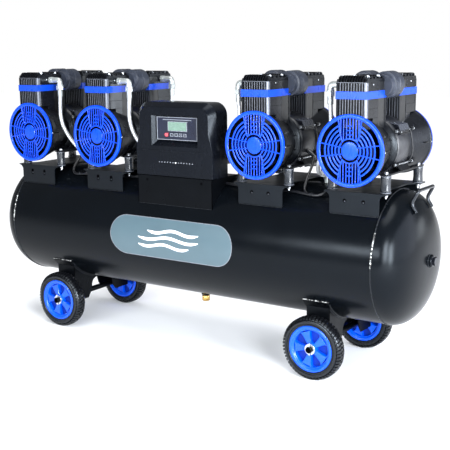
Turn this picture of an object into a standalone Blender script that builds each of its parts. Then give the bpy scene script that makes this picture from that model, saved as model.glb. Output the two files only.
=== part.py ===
"""Four-motor oil-free air compressor on a horizontal wheeled tank, as separate solids.

Metres, +Z up. X runs along the tank, -Y is the front, and the ground is z = 0.
"""

from math import acos, cos, degrees, pi, radians, sin, sqrt

import bmesh
import bpy
from mathutils import Matrix, Vector

# ---- driving dimensions -------------------------------------------------------------
TANK_R = 0.208
TANK_Z = 0.3716
SEAM_X = 0.7183
DISH_DEPTH = 0.0991
TANK_WALL = 0.0025
SOCKET_R = 0.019
SOCKET_BORE = 0.009

WHEEL_R = 0.100
WHEEL_X = 0.522
WHEEL_INNER_Y = 0.156
WHEEL_OUTER_Y = 0.2008
RIM_R = 0.0735
WHEEL_SIDES = 20
AXLE_R = 0.010
AXLE_END_Y = 0.2125

PUMP_X = (-0.637, -0.317, 0.317, 0.637)
PUMP_Z = 0.707
STATOR_R = 0.090
STATOR_Y = 0.042
CRANKCASE_R = 0.058
CRANKCASE_Y = 0.138
SHAFT_R = 0.008
COVER_R = 0.105
COVER_FRONT_Y = 0.188
COVER_THROAT = (0.055, 0.0695)
COVER_NECK = (0.168, 0.1015)
COVER_WALL = 0.003
FAN_R = 0.080
FAN_Y = (0.145, 0.172)

BLOCK_X = 0.0478
BLOCK_Y = (0.048, 0.181)
BLOCK_STEP_Y = 0.1345
BLOCK_Z = (0.7655, 0.7975, 0.900)
CAP_TOP_Z = 0.919
BAND_Z = (0.853, 0.8745)
DRUM_R = 0.0395
DRUM_X = 0.041
DRUM_Z = 0.8885
DRUM_END_Y = 0.015

PLATE_Z = (0.5800, 0.5840)
FLANGE_Y = 0.152
DAMPER_X = 0.085
DAMPER_Y = 0.120
DAMPER_R = 0.0155
FOOT_Z = (0.6345, 0.6425)

BOX_X = 0.150
BOX_Y = (-0.172, -0.018)
BOX_TOP_Z = 0.5873
SHELL_X = 0.156
SHELL_Y = (-0.172, -0.088)
SHELL_Z = (0.5878, 0.828)
PANEL_X = (-0.073, 0.088)
PANEL_Z = (0.706, 0.780)
PANEL_Y = (-0.160, -0.1525)
BUTTON_Z = 0.7225
BUTTONS = (
    ("power", -0.034),
    ("menu", -0.012),
    ("up", 0.0055),
    ("down", 0.023),
    ("enter", 0.0405),
)

ELBOW_X = 0.0958
ELBOW_Y = 0.120
ELBOW_Z = 0.891
HOSE_R = 0.0065
CABLE_R = 0.0045
MANIFOLD_Z = 0.613
OUTLET_Y = 0.100
LEVER_Z = 0.612

GAP = 0.0003
TINY = 1e-5


# ---- scene, materials and helpers ---------------------------------------------------
def new_collection(name):
    found = bpy.data.collections.new(name)
    bpy.context.scene.collection.children.link(found)
    return found


def new_material(name, colour, roughness, metallic=0.0):
    found = bpy.data.materials.new(name)
    found.use_nodes = True
    shader = found.node_tree.nodes["Principled BSDF"]
    shader.inputs["Base Color"].default_value = (*colour, 1.0)
    shader.inputs["Roughness"].default_value = roughness
    shader.inputs["Metallic"].default_value = metallic
    return found


for leftover in list(bpy.data.objects):
    bpy.data.objects.remove(leftover)
PARTS = new_collection("air_compressor")
BLACK_PAINT = new_material("black_paint", (0.012, 0.013, 0.016), 0.35)
BLUE_PLASTIC = new_material("blue_plastic", (0.011, 0.13, 0.86), 0.35)
BLACK_PLASTIC = new_material("black_plastic", (0.015, 0.016, 0.019), 0.45)
CAST_BLACK = new_material("cast_black", (0.025, 0.026, 0.03), 0.5)
RUBBER = new_material("rubber", (0.012, 0.012, 0.013), 0.75)
STEEL = new_material("steel", (0.55, 0.56, 0.58), 0.3, 1.0)
BRAID = new_material("steel_braid", (0.6, 0.6, 0.6), 0.35, 1.0)
PANEL_NAVY = new_material("panel_navy", (0.02, 0.028, 0.05), 0.3)
RED_PLASTIC = new_material("red_plastic", (0.75, 0.08, 0.1), 0.4)


def add_object(name, mesh, material=None):
    obj = bpy.data.objects.new(name, mesh)
    PARTS.objects.link(obj)
    if material:
        mesh.materials.clear()
        mesh.materials.append(material)
    return obj


def evaluated_mesh(obj):
    """The object's mesh with its modifiers applied, in its own space."""
    bpy.context.view_layer.update()
    graph = bpy.context.evaluated_depsgraph_get()
    return bpy.data.meshes.new_from_object(obj.evaluated_get(graph))


def apply_modifiers(obj):
    mesh = evaluated_mesh(obj)
    obj.modifiers.clear()
    obj.data = mesh
    return obj


def welded(mesh):
    shape = bmesh.new()
    shape.from_mesh(mesh)
    bmesh.ops.remove_doubles(shape, verts=shape.verts, dist=TINY)
    bmesh.ops.recalc_face_normals(shape, faces=shape.faces)
    shape.to_mesh(mesh)
    shape.free()
    return mesh


def set_in_place(obj, matrix):
    """Moves the mesh itself, so that the object's own transform stays free for its joint."""
    obj.data.transform(matrix)
    return obj


def combine(base, others, operation):
    """Joins the others to the base, or cuts them from it, and removes them."""
    for other in others:
        boolean = base.modifiers.new(operation.lower(), "BOOLEAN")
        boolean.operation = operation
        boolean.object = other
        apply_modifiers(base)
        bpy.data.objects.remove(other)
    return base


def join(base, *others):
    return combine(base, others, "UNION")


def cut(base, *others):
    return combine(base, others, "DIFFERENCE")


def box(name, x, y, z):
    """A box between two values on each axis."""
    shape = bmesh.new()
    bmesh.ops.create_cube(shape, size=1.0)
    size = Matrix.Diagonal((x[1] - x[0], y[1] - y[0], z[1] - z[0], 1.0))
    centre = Matrix.Translation([(low + high) / 2 for low, high in (x, y, z)])
    shape.transform(centre @ size)
    mesh = bpy.data.meshes.new(name)
    shape.to_mesh(mesh)
    shape.free()
    return add_object(name, mesh)


AXIS_TURN = {
    "X": Matrix.Rotation(pi / 2, 4, "Y"),
    "Y": Matrix.Rotation(-pi / 2, 4, "X"),
    "Z": Matrix.Identity(4),
}


def rod(name, axis, centre, span, radius, sides=16):
    """A cylinder along an axis, between two values on it; centre gives the other two."""
    shape = bmesh.new()
    length = span[1] - span[0]
    bmesh.ops.create_cone(
        shape, cap_ends=True, segments=sides, radius1=radius, radius2=radius, depth=length
    )
    shape.transform(Matrix.Rotation(pi / sides, 4, "Z"))
    shape.transform(AXIS_TURN[axis])
    middle = list(centre)
    middle.insert("XYZ".index(axis), (span[0] + span[1]) / 2)
    shape.transform(Matrix.Translation(middle))
    mesh = bpy.data.meshes.new(name)
    shape.to_mesh(mesh)
    shape.free()
    return add_object(name, mesh)


def turned(name, profile, sides, axis, centre):
    """A closed or axis-to-axis profile of (radius, height), turned round an axis."""
    mesh = bpy.data.meshes.new(name)
    points = [(radius, 0.0, height) for radius, height in profile]
    count = len(points)
    closed = profile[0][0] > 0
    edges = [(i, (i + 1) % count) for i in range(count if closed else count - 1)]
    mesh.from_pydata(points, edges, [])
    obj = add_object(name, mesh)
    screw = obj.modifiers.new("turn", "SCREW")
    screw.steps = screw.render_steps = sides
    screw.use_merge_vertices = True
    screw.merge_threshold = TINY
    apply_modifiers(obj)
    welded(obj.data)
    set_in_place(obj, Matrix.Translation(centre) @ AXIS_TURN[axis])
    return obj


def slab(name, outline, span, axis, holes=()):
    """A flat outline, thick along an axis between two values.

    The outline is in (y, z) for axis X, (x, z) for axis Y and (x, y) for axis Z.
    """
    curve = bpy.data.curves.new(name, "CURVE")
    curve.dimensions = "2D"
    curve.fill_mode = "BOTH"
    curve.extrude = (span[1] - span[0]) / 2
    for ring in (outline, *holes):
        spline = curve.splines.new("POLY")
        spline.points.add(len(ring) - 1)
        for point, (u, v) in zip(spline.points, ring):
            point.co = (u, v, 0.0, 1.0)
        spline.use_cyclic_u = True
    drawn = add_object(name, curve)
    mesh = welded(evaluated_mesh(drawn))
    bpy.data.objects.remove(drawn)
    columns = {
        "X": ((0, 1, 0), (0, 0, 1), (1, 0, 0)),
        "Y": ((1, 0, 0), (0, 0, 1), (0, -1, 0)),
        "Z": ((1, 0, 0), (0, 1, 0), (0, 0, 1)),
    }[axis]
    turn = Matrix(columns).transposed().to_4x4()
    middle = [0.0, 0.0, 0.0]
    middle["XYZ".index(axis)] = (span[0] + span[1]) / 2
    mesh.transform(Matrix.Translation(middle) @ turn)
    return add_object(name, mesh)


def tube(name, points, radius, resolution=2):
    """A closed tube along a list of points."""
    curve = bpy.data.curves.new(name, "CURVE")
    curve.dimensions = "3D"
    curve.bevel_depth = radius
    curve.bevel_resolution = resolution
    curve.use_fill_caps = True
    spline = curve.splines.new("POLY")
    spline.points.add(len(points) - 1)
    for point, place in zip(spline.points, points):
        point.co = (*place, 1.0)
    drawn = add_object(name, curve)
    mesh = welded(evaluated_mesh(drawn))
    bpy.data.objects.remove(drawn)
    return add_object(name, mesh)


def smooth_route(points, per_span=3):
    """Points read from a Catmull-Rom curve through the given ones."""
    knots = [Vector(p) for p in points]
    knots = [2 * knots[0] - knots[1], *knots, 2 * knots[-1] - knots[-2]]
    route = []
    for a, b, c, d in zip(knots, knots[1:], knots[2:], knots[3:]):
        for step in range(per_span):
            t = step / per_span
            bend = (2 * a - 5 * b + 4 * c - d) * t * t + (3 * b - a - 3 * c + d) * t**3
            route.append(0.5 * (2 * b + (c - a) * t + bend))
    return [*route, knots[-2]]


def finish(obj, name, material, hinge=None, smooth_angle=35):
    """Names a part, gives it its material, and puts its origin on its joint's axis."""
    obj.name = obj.data.name = name
    obj.data.materials.clear()
    obj.data.materials.append(material)
    if hinge:
        obj.data.transform(Matrix.Translation(-Vector(hinge)))
        obj.location = hinge
    obj.data.shade_smooth()
    obj.data.set_sharp_from_angle(angle=radians(smooth_angle))
    return obj


def arc(centre, radius, start, end, steps):
    """Points on an arc; the angles are in degrees."""
    turns = [radians(start + (end - start) * i / steps) for i in range(steps + 1)]
    return [(centre[0] + radius * cos(t), centre[1] + radius * sin(t)) for t in turns]


def mirrored(outline):
    """An outline's left half, added to the right half that it mirrors."""
    return [*outline, *[(-u, v) for u, v in reversed(outline)]]


def tank_surface_z(y, offset=0.0):
    return TANK_Z + sqrt((TANK_R + offset) ** 2 - y * y)


# ---- tank ---------------------------------------------------------------------------
def vessel_profile(shrink, steps):
    """Half-outline of the vessel from the left pole to the right one, along its axis."""
    radius, depth = TANK_R - shrink, DISH_DEPTH - shrink
    dish = []
    for i in range(steps + 1):
        turn = pi / 2 * i / steps
        dish.append((radius * cos(turn) ** (1 / 1.3), SEAM_X + depth * sin(turn)))
    dish[-1] = (0.0, SEAM_X + depth)
    return [*reversed(dish), *[(r, -x) for r, x in dish]]


def build_tank():
    axis = (0.0, 0.0, TANK_Z)
    pole = SEAM_X + DISH_DEPTH
    shell = turned("shell", vessel_profile(0.0, 6), 32, "X", axis)
    sockets = [
        rod("crown", "Z", (0, 0), (0.570, 0.5925), 0.016),
        rod("outlet", "Z", (0, OUTLET_Y), (0.535, 0.5705), 0.016),
        rod("drain", "Z", (0, 0), (0.150, 0.180), 0.016),
        rod("end_r", "X", (0, TANK_Z), (pole - 0.012, pole + 0.008), SOCKET_R),
        rod("end_l", "X", (0, TANK_Z), (-pole - 0.008, -pole + 0.012), SOCKET_R),
    ]
    join(shell, *sockets)
    hollow = turned("hollow", vessel_profile(TANK_WALL, 3), 22, "X", axis)
    bores = [
        rod("crown_bore", "Z", (0, 0), (0.55, 0.60), 0.0075, 12),
        rod("outlet_bore", "Z", (0, OUTLET_Y), (0.52, 0.58), 0.0075, 12),
        rod("drain_bore", "Z", (0, 0), (0.14, 0.19), 0.0075, 12),
        rod("end_r_bore", "X", (0, TANK_Z), (pole - 0.03, pole + 0.02), SOCKET_BORE, 12),
        rod("end_l_bore", "X", (0, TANK_Z), (-pole - 0.02, -pole + 0.03), SOCKET_BORE, 12),
    ]
    cut(shell, hollow, *bores)
    finish(shell, "tank", BLACK_PAINT)


def build_end_plug(side, name):
    """A hexagon-headed plug whose shank fills the socket at one end of the tank."""
    face = SEAM_X + DISH_DEPTH + 0.008
    shank = sorted((side * (face - 0.018), side * (face + 0.002)))
    head = sorted((side * (face + GAP), side * (face + 0.010)))
    plug = rod("shank", "X", (0, TANK_Z), shank, SOCKET_BORE - GAP, 12)
    join(plug, rod("head", "X", (0, TANK_Z), head, 0.014, 6))
    finish(plug, name, BLACK_PAINT)


def build_handle():
    """A bent rod, welded by two feet that lie along the upper part of the right dish."""
    half = 0.060
    foot, heel, top = (0.7935, 0.5240), (0.7765, 0.5490), (0.7975, 0.5880)
    corner = 0.014
    lean = Vector((top[0] - heel[0], 0, top[1] - heel[1])).normalized()
    centre = Vector((top[0], -half + corner, top[1])) - lean * corner
    bend = []
    for i in range(5):
        turn = pi / 2 * i / 4
        side = Vector((0, -corner * cos(turn), 0))
        bend.append(tuple(centre + side + lean * corner * sin(turn)))
    near = [(foot[0], -half, foot[1]), (heel[0], -half, heel[1]), *bend]
    far = [(x, -y, z) for x, y, z in reversed(near)]
    handle = tube("handle_right", [*near, *far], 0.0052)
    finish(handle, "handle_right", BLACK_PAINT)


# ---- wheels and their frames --------------------------------------------------------
def build_axle_frame(side, name):
    """Two welded legs on a curved pad under the tank, and the axle bar through them."""
    x = side * WHEEL_X
    pad_r, leg_y, foot_z = TANK_R + 0.0005, 0.150, 0.086
    outer = arc((0, TANK_Z), pad_r + 0.004, -142.5, -37.5, 8)
    inner = arc((0, TANK_Z), pad_r, -37.5, -142.5, 14)
    frame = slab("pad", [*outer, *inner], (x - 0.0435, x + 0.0435), "X")
    pad_mid = pad_r + 0.002
    under = arc((0, TANK_Z), pad_mid, -135.2, -98.0, 4)
    arch = arc((-0.030, 0.130), 0.026, 90, 180, 3)
    leg = [*under, *arch, (-0.064, 0.104), (-0.078, foot_z), (-leg_y, foot_z)]
    for mirror in (1, -1):
        outline = [(mirror * y, z) for y, z in leg]
        for edge in (-1, 1):
            span = sorted((x + edge * 0.039, x + edge * 0.035))
            join(frame, slab("cheek", outline, span, "X"))
        web_y = sorted((mirror * -leg_y, mirror * (-leg_y + 0.004)))
        web_top = TANK_Z - sqrt(pad_mid**2 - (leg_y - 0.002) ** 2)
        join(frame, box("web", (x - 0.037, x + 0.037), web_y, (foot_z + 0.001, web_top)))
    join(frame, rod("axle", "Y", (x, WHEEL_R), (-AXLE_END_Y, AXLE_END_Y), AXLE_R, 14))
    finish(frame, name, BLACK_PAINT)


def build_wheel(side, end, names):
    """A solid tyre and the plastic hub inside it, both turning on the axle bar."""
    centre = Vector((side * WHEEL_X, end * (WHEEL_INNER_Y + WHEEL_OUTER_Y) / 2, WHEEL_R))
    half = (WHEEL_OUTER_Y - WHEEL_INNER_Y) / 2
    shoulder = 0.008
    tread = [
        (RIM_R, half - 0.004),
        (RIM_R + 0.006, half),
        (WHEEL_R - shoulder, half - 0.0015),
        (WHEEL_R, half - shoulder),
    ]
    ring = [*tread, *[(r, -h) for r, h in reversed(tread)]]
    tyre = turned("tyre", ring, WHEEL_SIDES, "Y", centre)
    finish(tyre, names[0], RUBBER, hinge=centre)

    rim = RIM_R - GAP
    bore = AXLE_R + 0.0005
    hub = [
        (rim, half - 0.004),
        (rim, -half + 0.004),
        (rim - 0.006, -half + 0.004),
        (rim - 0.012, -0.004),
        (0.0165, -0.004),
        (0.0165, -half + 0.002),
        (bore, -half + 0.002),
        (bore, half - 0.002),
        (0.0165, half - 0.002),
        (0.0165, 0.004),
        (rim - 0.012, 0.004),
        (rim - 0.006, half - 0.004),
    ]
    finish(turned("hub", hub, WHEEL_SIDES, "Y", centre), names[1], BLUE_PLASTIC, hinge=centre)


# ---- pumps --------------------------------------------------------------------------
def build_pump_bracket(number, x):
    """A folded saddle plate over the tank, with the four rubber dampers on it."""
    waist, tip = 0.066, 0.0975
    edge = FLANGE_Y - 0.001
    corner = arc((tip, 0.076), tip - waist, 180, 90, 2)
    quarter = [(waist, 0.0), *corner, (tip, edge)]
    half = [*[(u, -v) for u, v in reversed(quarter[1:])], *quarter]
    outline = [(x + u, v) for u, v in mirrored(half)]
    plate = slab("plate", outline, PLATE_Z, "Z")
    bottom = 0.5186
    fillet = arc((0.0975, 0.5630), 0.018, 180, 110, 2)
    flange = [(0.0795, bottom), *fillet, (tip + 0.001, PLATE_Z[1] - 0.0012)]
    outline = [(x + u, v) for u, v in mirrored(flange)]
    for side in (-1, 1):
        holes = [arc((x + u, 0.555), 0.004, 0, 300, 5) for u in (-0.030, 0.030)]
        span = sorted((side * FLANGE_Y, side * (FLANGE_Y - 0.004)))
        join(plate, slab("flange", outline, span, "Y", holes))
    for u in (-DAMPER_X, DAMPER_X):
        for v in (-DAMPER_Y, DAMPER_Y):
            damper = rod("damper", "Z", (x + u, v), (0.582, FOOT_Z[0] - GAP), DAMPER_R, 8)
            join(plate, damper)
    finish(plate, f"pump_bracket_{number}", BLACK_PAINT)


def build_motor(number, x):
    """Stator housing, crankcases, feet and terminal box, bored for the shaft."""
    at = (x, PUMP_Z)
    motor = rod("stator", "Y", at, (-STATOR_Y, STATOR_Y), STATOR_R, 26)
    join(motor, rod("crankcases", "Y", at, (-CRANKCASE_Y, CRANKCASE_Y), CRANKCASE_R, 16))
    outer, inner = DAMPER_X + 0.012, DAMPER_X - 0.012
    feet = [
        (outer, -DAMPER_Y - 0.016),
        (outer, DAMPER_Y + 0.016),
        (inner, DAMPER_Y + 0.016),
        (inner, 0.038),
    ]
    left = [(-u, v) for u, v in reversed(feet)]
    lower = [(inner, -0.038), (inner, -DAMPER_Y - 0.016)]
    outline = [*feet, *left, *[(-u, v) for u, v in reversed(lower)], *lower]
    join(motor, slab("feet", [(x + u, v) for u, v in outline], FOOT_Z, "Z"))
    join(motor, box("terminals", (x + 0.050, x + 0.088), (-0.034, 0.034), (0.745, 0.775)))
    cut(motor, rod("bore", "Y", at, (-0.15, 0.15), SHAFT_R + 0.0005, 10))
    finish(motor, f"motor_{number}", CAST_BLACK)


def build_rotor(number, x):
    """One shaft through the motor, with a four-bladed fan near each end."""
    at = (x, PUMP_Z)
    rotor = rod("shaft", "Y", at, (-0.178, 0.178), SHAFT_R, 10)
    blades = 4
    for side in (-1, 1):
        span = sorted((side * FAN_Y[0], side * FAN_Y[1]))
        join(rotor, rod("hub", "Y", at, span, 0.022, 10))
        for i in range(blades):
            blade = box("blade", (-0.0155, 0.0155), (-0.0013, 0.0013), (0.015, FAN_R))
            set_in_place(blade, Matrix.Rotation(radians(side * 38), 4, "Z"))
            set_in_place(blade, Matrix.Rotation(2 * pi * (i + 0.5) / blades, 4, "Y"))
            middle = side * (FAN_Y[0] + FAN_Y[1]) / 2
            set_in_place(blade, Matrix.Translation((x, middle, PUMP_Z)))
            join(rotor, blade)
    finish(rotor, f"rotor_{number}", BLACK_PLASTIC, hinge=(x, 0, PUMP_Z))


def block_outline(side, grow=0.0):
    """The cylinder block's side outline in (y, z)."""
    near, far = BLOCK_Y[0] - grow, BLOCK_Y[1] + grow
    step = BLOCK_STEP_Y + grow
    low, mid, high = BLOCK_Z[0] - grow, BLOCK_Z[1] - grow, BLOCK_Z[2]
    outline = [(near, low), (step, low), (step, mid), (far, mid), (far, high), (near, high)]
    return [(side * y, z) for y, z in outline]


def build_head(number, x, side, name):
    """Cylinder block, finned cap, band and the intake silencer on its inner face."""
    head = slab("block", block_outline(side), (x - BLOCK_X, x + BLOCK_X), "X")
    rim_y = sorted((side * (BLOCK_Y[0] - 0.001), side * (BLOCK_Y[1] + 0.001)))
    join(head, box("band", (x - BLOCK_X - 0.001, x + BLOCK_X + 0.001), rim_y, BAND_Z))
    lip = 0.007
    cap = [(0.054, 0.895), (0.175, 0.895), (0.175, CAP_TOP_Z - lip)]
    cap += [(0.175 - lip, CAP_TOP_Z), (0.054, CAP_TOP_Z)]
    join(head, slab("cap", [(side * y, z) for y, z in cap], (x - 0.042, x + 0.042), "X"))
    drum_span = sorted((side * 0.060, -side * DRUM_END_Y))
    drum_at = (x - side * DRUM_X, DRUM_Z)
    join(head, rod("silencer", "Y", drum_at, drum_span, DRUM_R, 16))
    finish(head, f"{name}_{number}", CAST_BLACK)


def grille_slot(x, start, end):
    """One window of the grille, between two rings and two spokes, in (x, z)."""
    at = (x, PUMP_Z)
    return [*arc(at, 0.093, start, end, 3), *arc(at, 0.032, end, start, 2)]


def build_fan_cover(number, x, side, name):
    """A conical duct round the crankcase, closed by a slotted grille."""
    throat_y, throat_r = COVER_THROAT
    neck_y, neck_r = COVER_NECK
    front, wall = COVER_FRONT_Y, COVER_WALL
    profile = [
        (0.0, front),
        (COVER_R, front),
        (COVER_R, neck_y + 0.004),
        (neck_r, neck_y),
        (throat_r, throat_y),
        (throat_r - wall, throat_y),
        (COVER_R - wall, neck_y + 0.004),
        (COVER_R - wall, front - 0.004),
        (0.0, front - 0.004),
    ]
    cover = turned("cover", profile, 18, "Z", (0, 0, 0))
    set_in_place(cover, Matrix.Rotation(side * -pi / 2, 4, "X"))
    set_in_place(cover, Matrix.Translation((x, 0, PUMP_Z)))
    clearance = 0.0005
    reach = BLOCK_X + clearance
    cut(cover, slab("seat", block_outline(side, clearance), (x - reach, x + reach), "X"))
    span = sorted((side * (front - 0.010), side * (front + 0.010)))
    windows = 4
    for i in range(windows):
        start = 360 / windows * i + 4
        slot = grille_slot(x, start, start + 360 / windows - 8)
        cut(cover, slab("window", slot, span, "Y"))
    finish(cover, f"{name}_{number}", BLUE_PLASTIC)


# ---- control box --------------------------------------------------------------------
def base_outline(inset, lower):
    """Side outline of the sheet-metal base, whose lower edge follows the tank."""
    front, back = BOX_Y[0] + inset, BOX_Y[1] - inset
    top = BOX_TOP_Z - inset
    radius = TANK_R + 0.0012
    start, end = (180 - degrees(acos(y / radius)) for y in (-front, -back))
    edge = arc((0, TANK_Z - lower), radius, start, end, 8)
    return [*edge, (back, top), (front, top)]


def build_control_base():
    base = slab("base", base_outline(0.0, 0.0), (-BOX_X, BOX_X), "X")
    inner = BOX_X - 0.003
    cut(base, slab("inside", base_outline(0.003, 0.02), (-inner, inner), "X"))
    for x in (-0.115, 0.115):
        cut(base, rod("hole", "Y", (x, 0.570), (-0.18, -0.16), 0.0045, 10))
    finish(base, "control_base", BLACK_PAINT)


def shell_outline(inset, bottom):
    """Front outline of the moulded cover: upright sides and rounded top corners."""
    half, top, radius = SHELL_X - inset, SHELL_Z[1] - inset, 0.042 - inset
    corner = arc((half - radius, top - radius), radius, 0, 90, 5)
    return mirrored([(half, bottom), *corner])


def build_control_cover():
    cover = slab("cover", shell_outline(0.0, SHELL_Z[0]), SHELL_Y, "Y")
    bevel = cover.modifiers.new("edges", "BEVEL")
    bevel.width = 0.006
    bevel.segments = 2
    bevel.limit_method = "ANGLE"
    bevel.angle_limit = radians(60)
    bevel.harden_normals = False
    apply_modifiers(cover)
    wall = 0.004
    room = (SHELL_Y[0] + wall, SHELL_Y[1] - wall)
    cut(cover, slab("room", shell_outline(wall + 0.002, SHELL_Z[0] - 0.01), room, "Y"))
    tray = box("tray", (-0.104, 0.104), (SHELL_Y[0] + 0.002, -0.149), (0.682, 0.793))
    join(cover, tray)
    mouth = (-0.088, 0.096, 0.686, 0.785, SHELL_Y[0] - 0.001)
    recess = frustum(mouth, (PANEL_X[0] - 0.001, PANEL_X[1] + 0.001, 0.705, 0.781, -0.160))
    pocket = box(
        "pocket",
        (PANEL_X[0] - GAP, PANEL_X[1] + GAP),
        (PANEL_Y[0] - 0.001, PANEL_Y[1] + GAP),
        (PANEL_Z[0] - GAP, PANEL_Z[1] + GAP),
    )
    cut(cover, recess, pocket)
    finish(cover, "control_cover", BLACK_PLASTIC)


def frustum(mouth, floor):
    """A tapered pocket; each end is (low x, high x, low z, high z, y)."""
    shape = bmesh.new()
    rings = []
    for left, right, low, high, y in (mouth, floor):
        corners = ((left, low), (right, low), (right, high), (left, high))
        rings.append([shape.verts.new((u, y, v)) for u, v in corners])
    shape.faces.new(rings[0])
    shape.faces.new(rings[1])
    for i in range(4):
        j = (i + 1) % 4
        shape.faces.new((rings[0][i], rings[0][j], rings[1][j], rings[1][i]))
    bmesh.ops.recalc_face_normals(shape, faces=shape.faces)
    mesh = bpy.data.meshes.new("frustum")
    shape.to_mesh(mesh)
    shape.free()
    return add_object("frustum", mesh)


def build_display_panel():
    panel = box("panel", PANEL_X, PANEL_Y, PANEL_Z)
    for _, x in BUTTONS:
        cut(panel, rod("guide", "Y", (x, BUTTON_Z), (-0.17, -0.14), 0.0036, 10))
    finish(panel, "display_panel", PANEL_NAVY)


def build_buttons():
    """Each button is a cap in front of the panel and a stem in the panel's guide hole."""
    face = PANEL_Y[0]
    for label, x in BUTTONS:
        height = (BUTTON_Z - 0.0052, BUTTON_Z + 0.0052)
        cap = box("cap", (x - 0.0062, x + 0.0062), (face - 0.0028, face - 0.0013), height)
        join(cap, rod("stem", "Y", (x, BUTTON_Z), (face - 0.002, face + 0.005), 0.0032, 10))
        colour = RED_PLASTIC if label == "power" else BLACK_PLASTIC
        finish(cap, f"button_{label}", colour, hinge=(x, face, BUTTON_Z))


# ---- air lines and wiring -----------------------------------------------------------
HOSE_DROP = (
    (0.0935, 0.120, 0.800),
    (0.0935, 0.120, 0.765),
    (0.1030, 0.119, 0.728),
    (0.1230, 0.112, 0.690),
)


def hose(pump_x, inward, side, tail):
    """A banjo elbow, its nut and one braided hose, down to a port of a manifold."""
    start = BLOCK_X + GAP
    rise = [
        (start, 0.120, ELBOW_Z),
        (ELBOW_X - 0.010, 0.120, ELBOW_Z),
        (ELBOW_X - 0.003, 0.120, ELBOW_Z - 0.003),
        (ELBOW_X, 0.120, ELBOW_Z - 0.010),
        (ELBOW_X, 0.120, 0.845),
    ]
    fall = [(0.0955, 0.120, 0.840), *HOSE_DROP]
    local = [(pump_x + inward * dx, side * dy, z) for dx, dy, z in fall]
    route = smooth_route([*local, *tail], 2)
    elbow = [(pump_x + inward * dx, side * dy, z) for dx, dy, z in rise]
    line = tube("hose", [*elbow, *route], HOSE_R, 1)
    at = (pump_x + inward * ELBOW_X, side * ELBOW_Y)
    join(line, rod("nut", "Z", at, (0.8513, 0.8687), 0.0118, 8))
    return line


def build_outer_air_line(name, pump_x, inward):
    """The two hoses of an outer pump and the tee that takes them into the tank."""
    x = pump_x + inward * 0.160
    tee = rod("stem", "Z", (x, 0), (TANK_Z + TANK_R + 0.0006, 0.630), 0.0135, 12)
    join(tee, rod("arms", "Y", (x, MANIFOLD_Z), (-0.036, 0.036), 0.0105, 12))
    for side in (-1, 1):
        tail = [
            (x - inward * 0.016, side * 0.098, 0.656),
            (x - inward * 0.003, side * 0.076, 0.628),
            (x, side * 0.053, MANIFOLD_Z + 0.002),
            (x, side * 0.030, MANIFOLD_Z),
        ]
        join(tee, hose(pump_x, inward, side, tail))
    finish(tee, name, BRAID)


def build_centre_air_line():
    """The four hoses of the inner pumps and the manifold on the tank's crown."""
    bar = rod("bar", "X", (0, 0.615), (-0.085, 0.085), 0.0135, 12)
    join(bar, rod("stem", "Z", (0, 0), (0.5928, 0.632), 0.0125, 6))
    for pump_x, inward in ((PUMP_X[1], 1), (PUMP_X[2], -1)):
        for side in (-1, 1):
            tail = [
                (-inward * 0.172, side * 0.090, 0.664),
                (-inward * 0.148, side * 0.068, 0.643),
                (-inward * 0.094, side * 0.040, 0.622),
                (-inward * (0.063 + 0.002 * side), side * 0.020, 0.6165),
                (-inward * (0.059 + 0.002 * side), side * 0.009, 0.6155),
            ]
            join(bar, hose(pump_x, inward, side, tail))
    cut(bar, rod("seat", "Z", (0, 0), (0.615, 0.65), 0.0052, 10))
    finish(bar, "air_line_centre", BRAID)


def surface_point(x, y, lift=CABLE_R + 0.0012):
    return (x, y, tank_surface_z(y, lift))


def build_wiring(side, name):
    """The cable from the control box to the outer motor, and its branch to the inner one."""
    trunk = [
        surface_point(side * (BOX_X + 3 * GAP), -0.088),
        surface_point(side * 0.190, -0.092),
        surface_point(side * 0.260, -0.098),
        surface_point(side * 0.330, -0.100),
        surface_point(side * 0.400, -0.098),
        surface_point(side * 0.450, -0.104),
        surface_point(side * 0.495, -0.106),
        (side * 0.519, -0.090, 0.572),
        (side * 0.526, -0.056, 0.600),
        (side * 0.526, -0.022, 0.634),
        (side * 0.5325, -0.002, 0.664),
        (side * 0.5510, 0.000, 0.676),
    ]
    branch = [
        surface_point(side * 0.455, -0.104),
        (side * 0.440, -0.090, 0.570),
        (side * 0.432, -0.060, 0.598),
        (side * 0.430, -0.024, 0.634),
        (side * 0.4225, -0.002, 0.664),
        (side * 0.4035, 0.000, 0.676),
    ]
    cable = tube("trunk", smooth_route(trunk, 2), CABLE_R, 1)
    join(cable, tube("branch", smooth_route(branch, 2), CABLE_R * 0.96, 1))
    finish(cable, name, BLACK_PLASTIC)


# ---- valves -------------------------------------------------------------------------
def build_outlet_valve():
    """A vertical ball valve on the rear of the crown; its top face takes a hose."""
    at = (0, OUTLET_Y)
    valve = rod("nipple", "Z", at, (0.5708, 0.590), 0.0105, 14)
    join(valve, rod("body", "Z", at, (0.588, 0.636), 0.0145, 8))
    join(valve, rod("spout", "Z", at, (0.634, 0.660), 0.0105, 14))
    join(valve, rod("collar", "Y", (0, LEVER_Z), (OUTLET_Y, OUTLET_Y + 0.0185), 0.0075, 12))
    cut(valve, rod("way", "Z", at, (0.56, 0.67), 0.0062, 12))
    finish(valve, "outlet_valve", STEEL)
    inner = OUTLET_Y + 0.0188
    plate = [(-0.009, 0.008), (-0.009, -0.008), (0.012, -0.008), (0.076, -0.0055)]
    plate += [(0.080, 0.0), (0.076, 0.0055), (0.012, 0.008)]
    outline = [(u, LEVER_Z + v) for u, v in plate]
    lever = slab("lever", outline, (inner, inner + 0.003), "Y")
    join(lever, rod("nut", "Y", (0, LEVER_Z), (inner + 0.001, inner + 0.008), 0.0055, 6))
    finish(lever, "outlet_lever", RED_PLASTIC, hinge=(0, inner, LEVER_Z))


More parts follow.
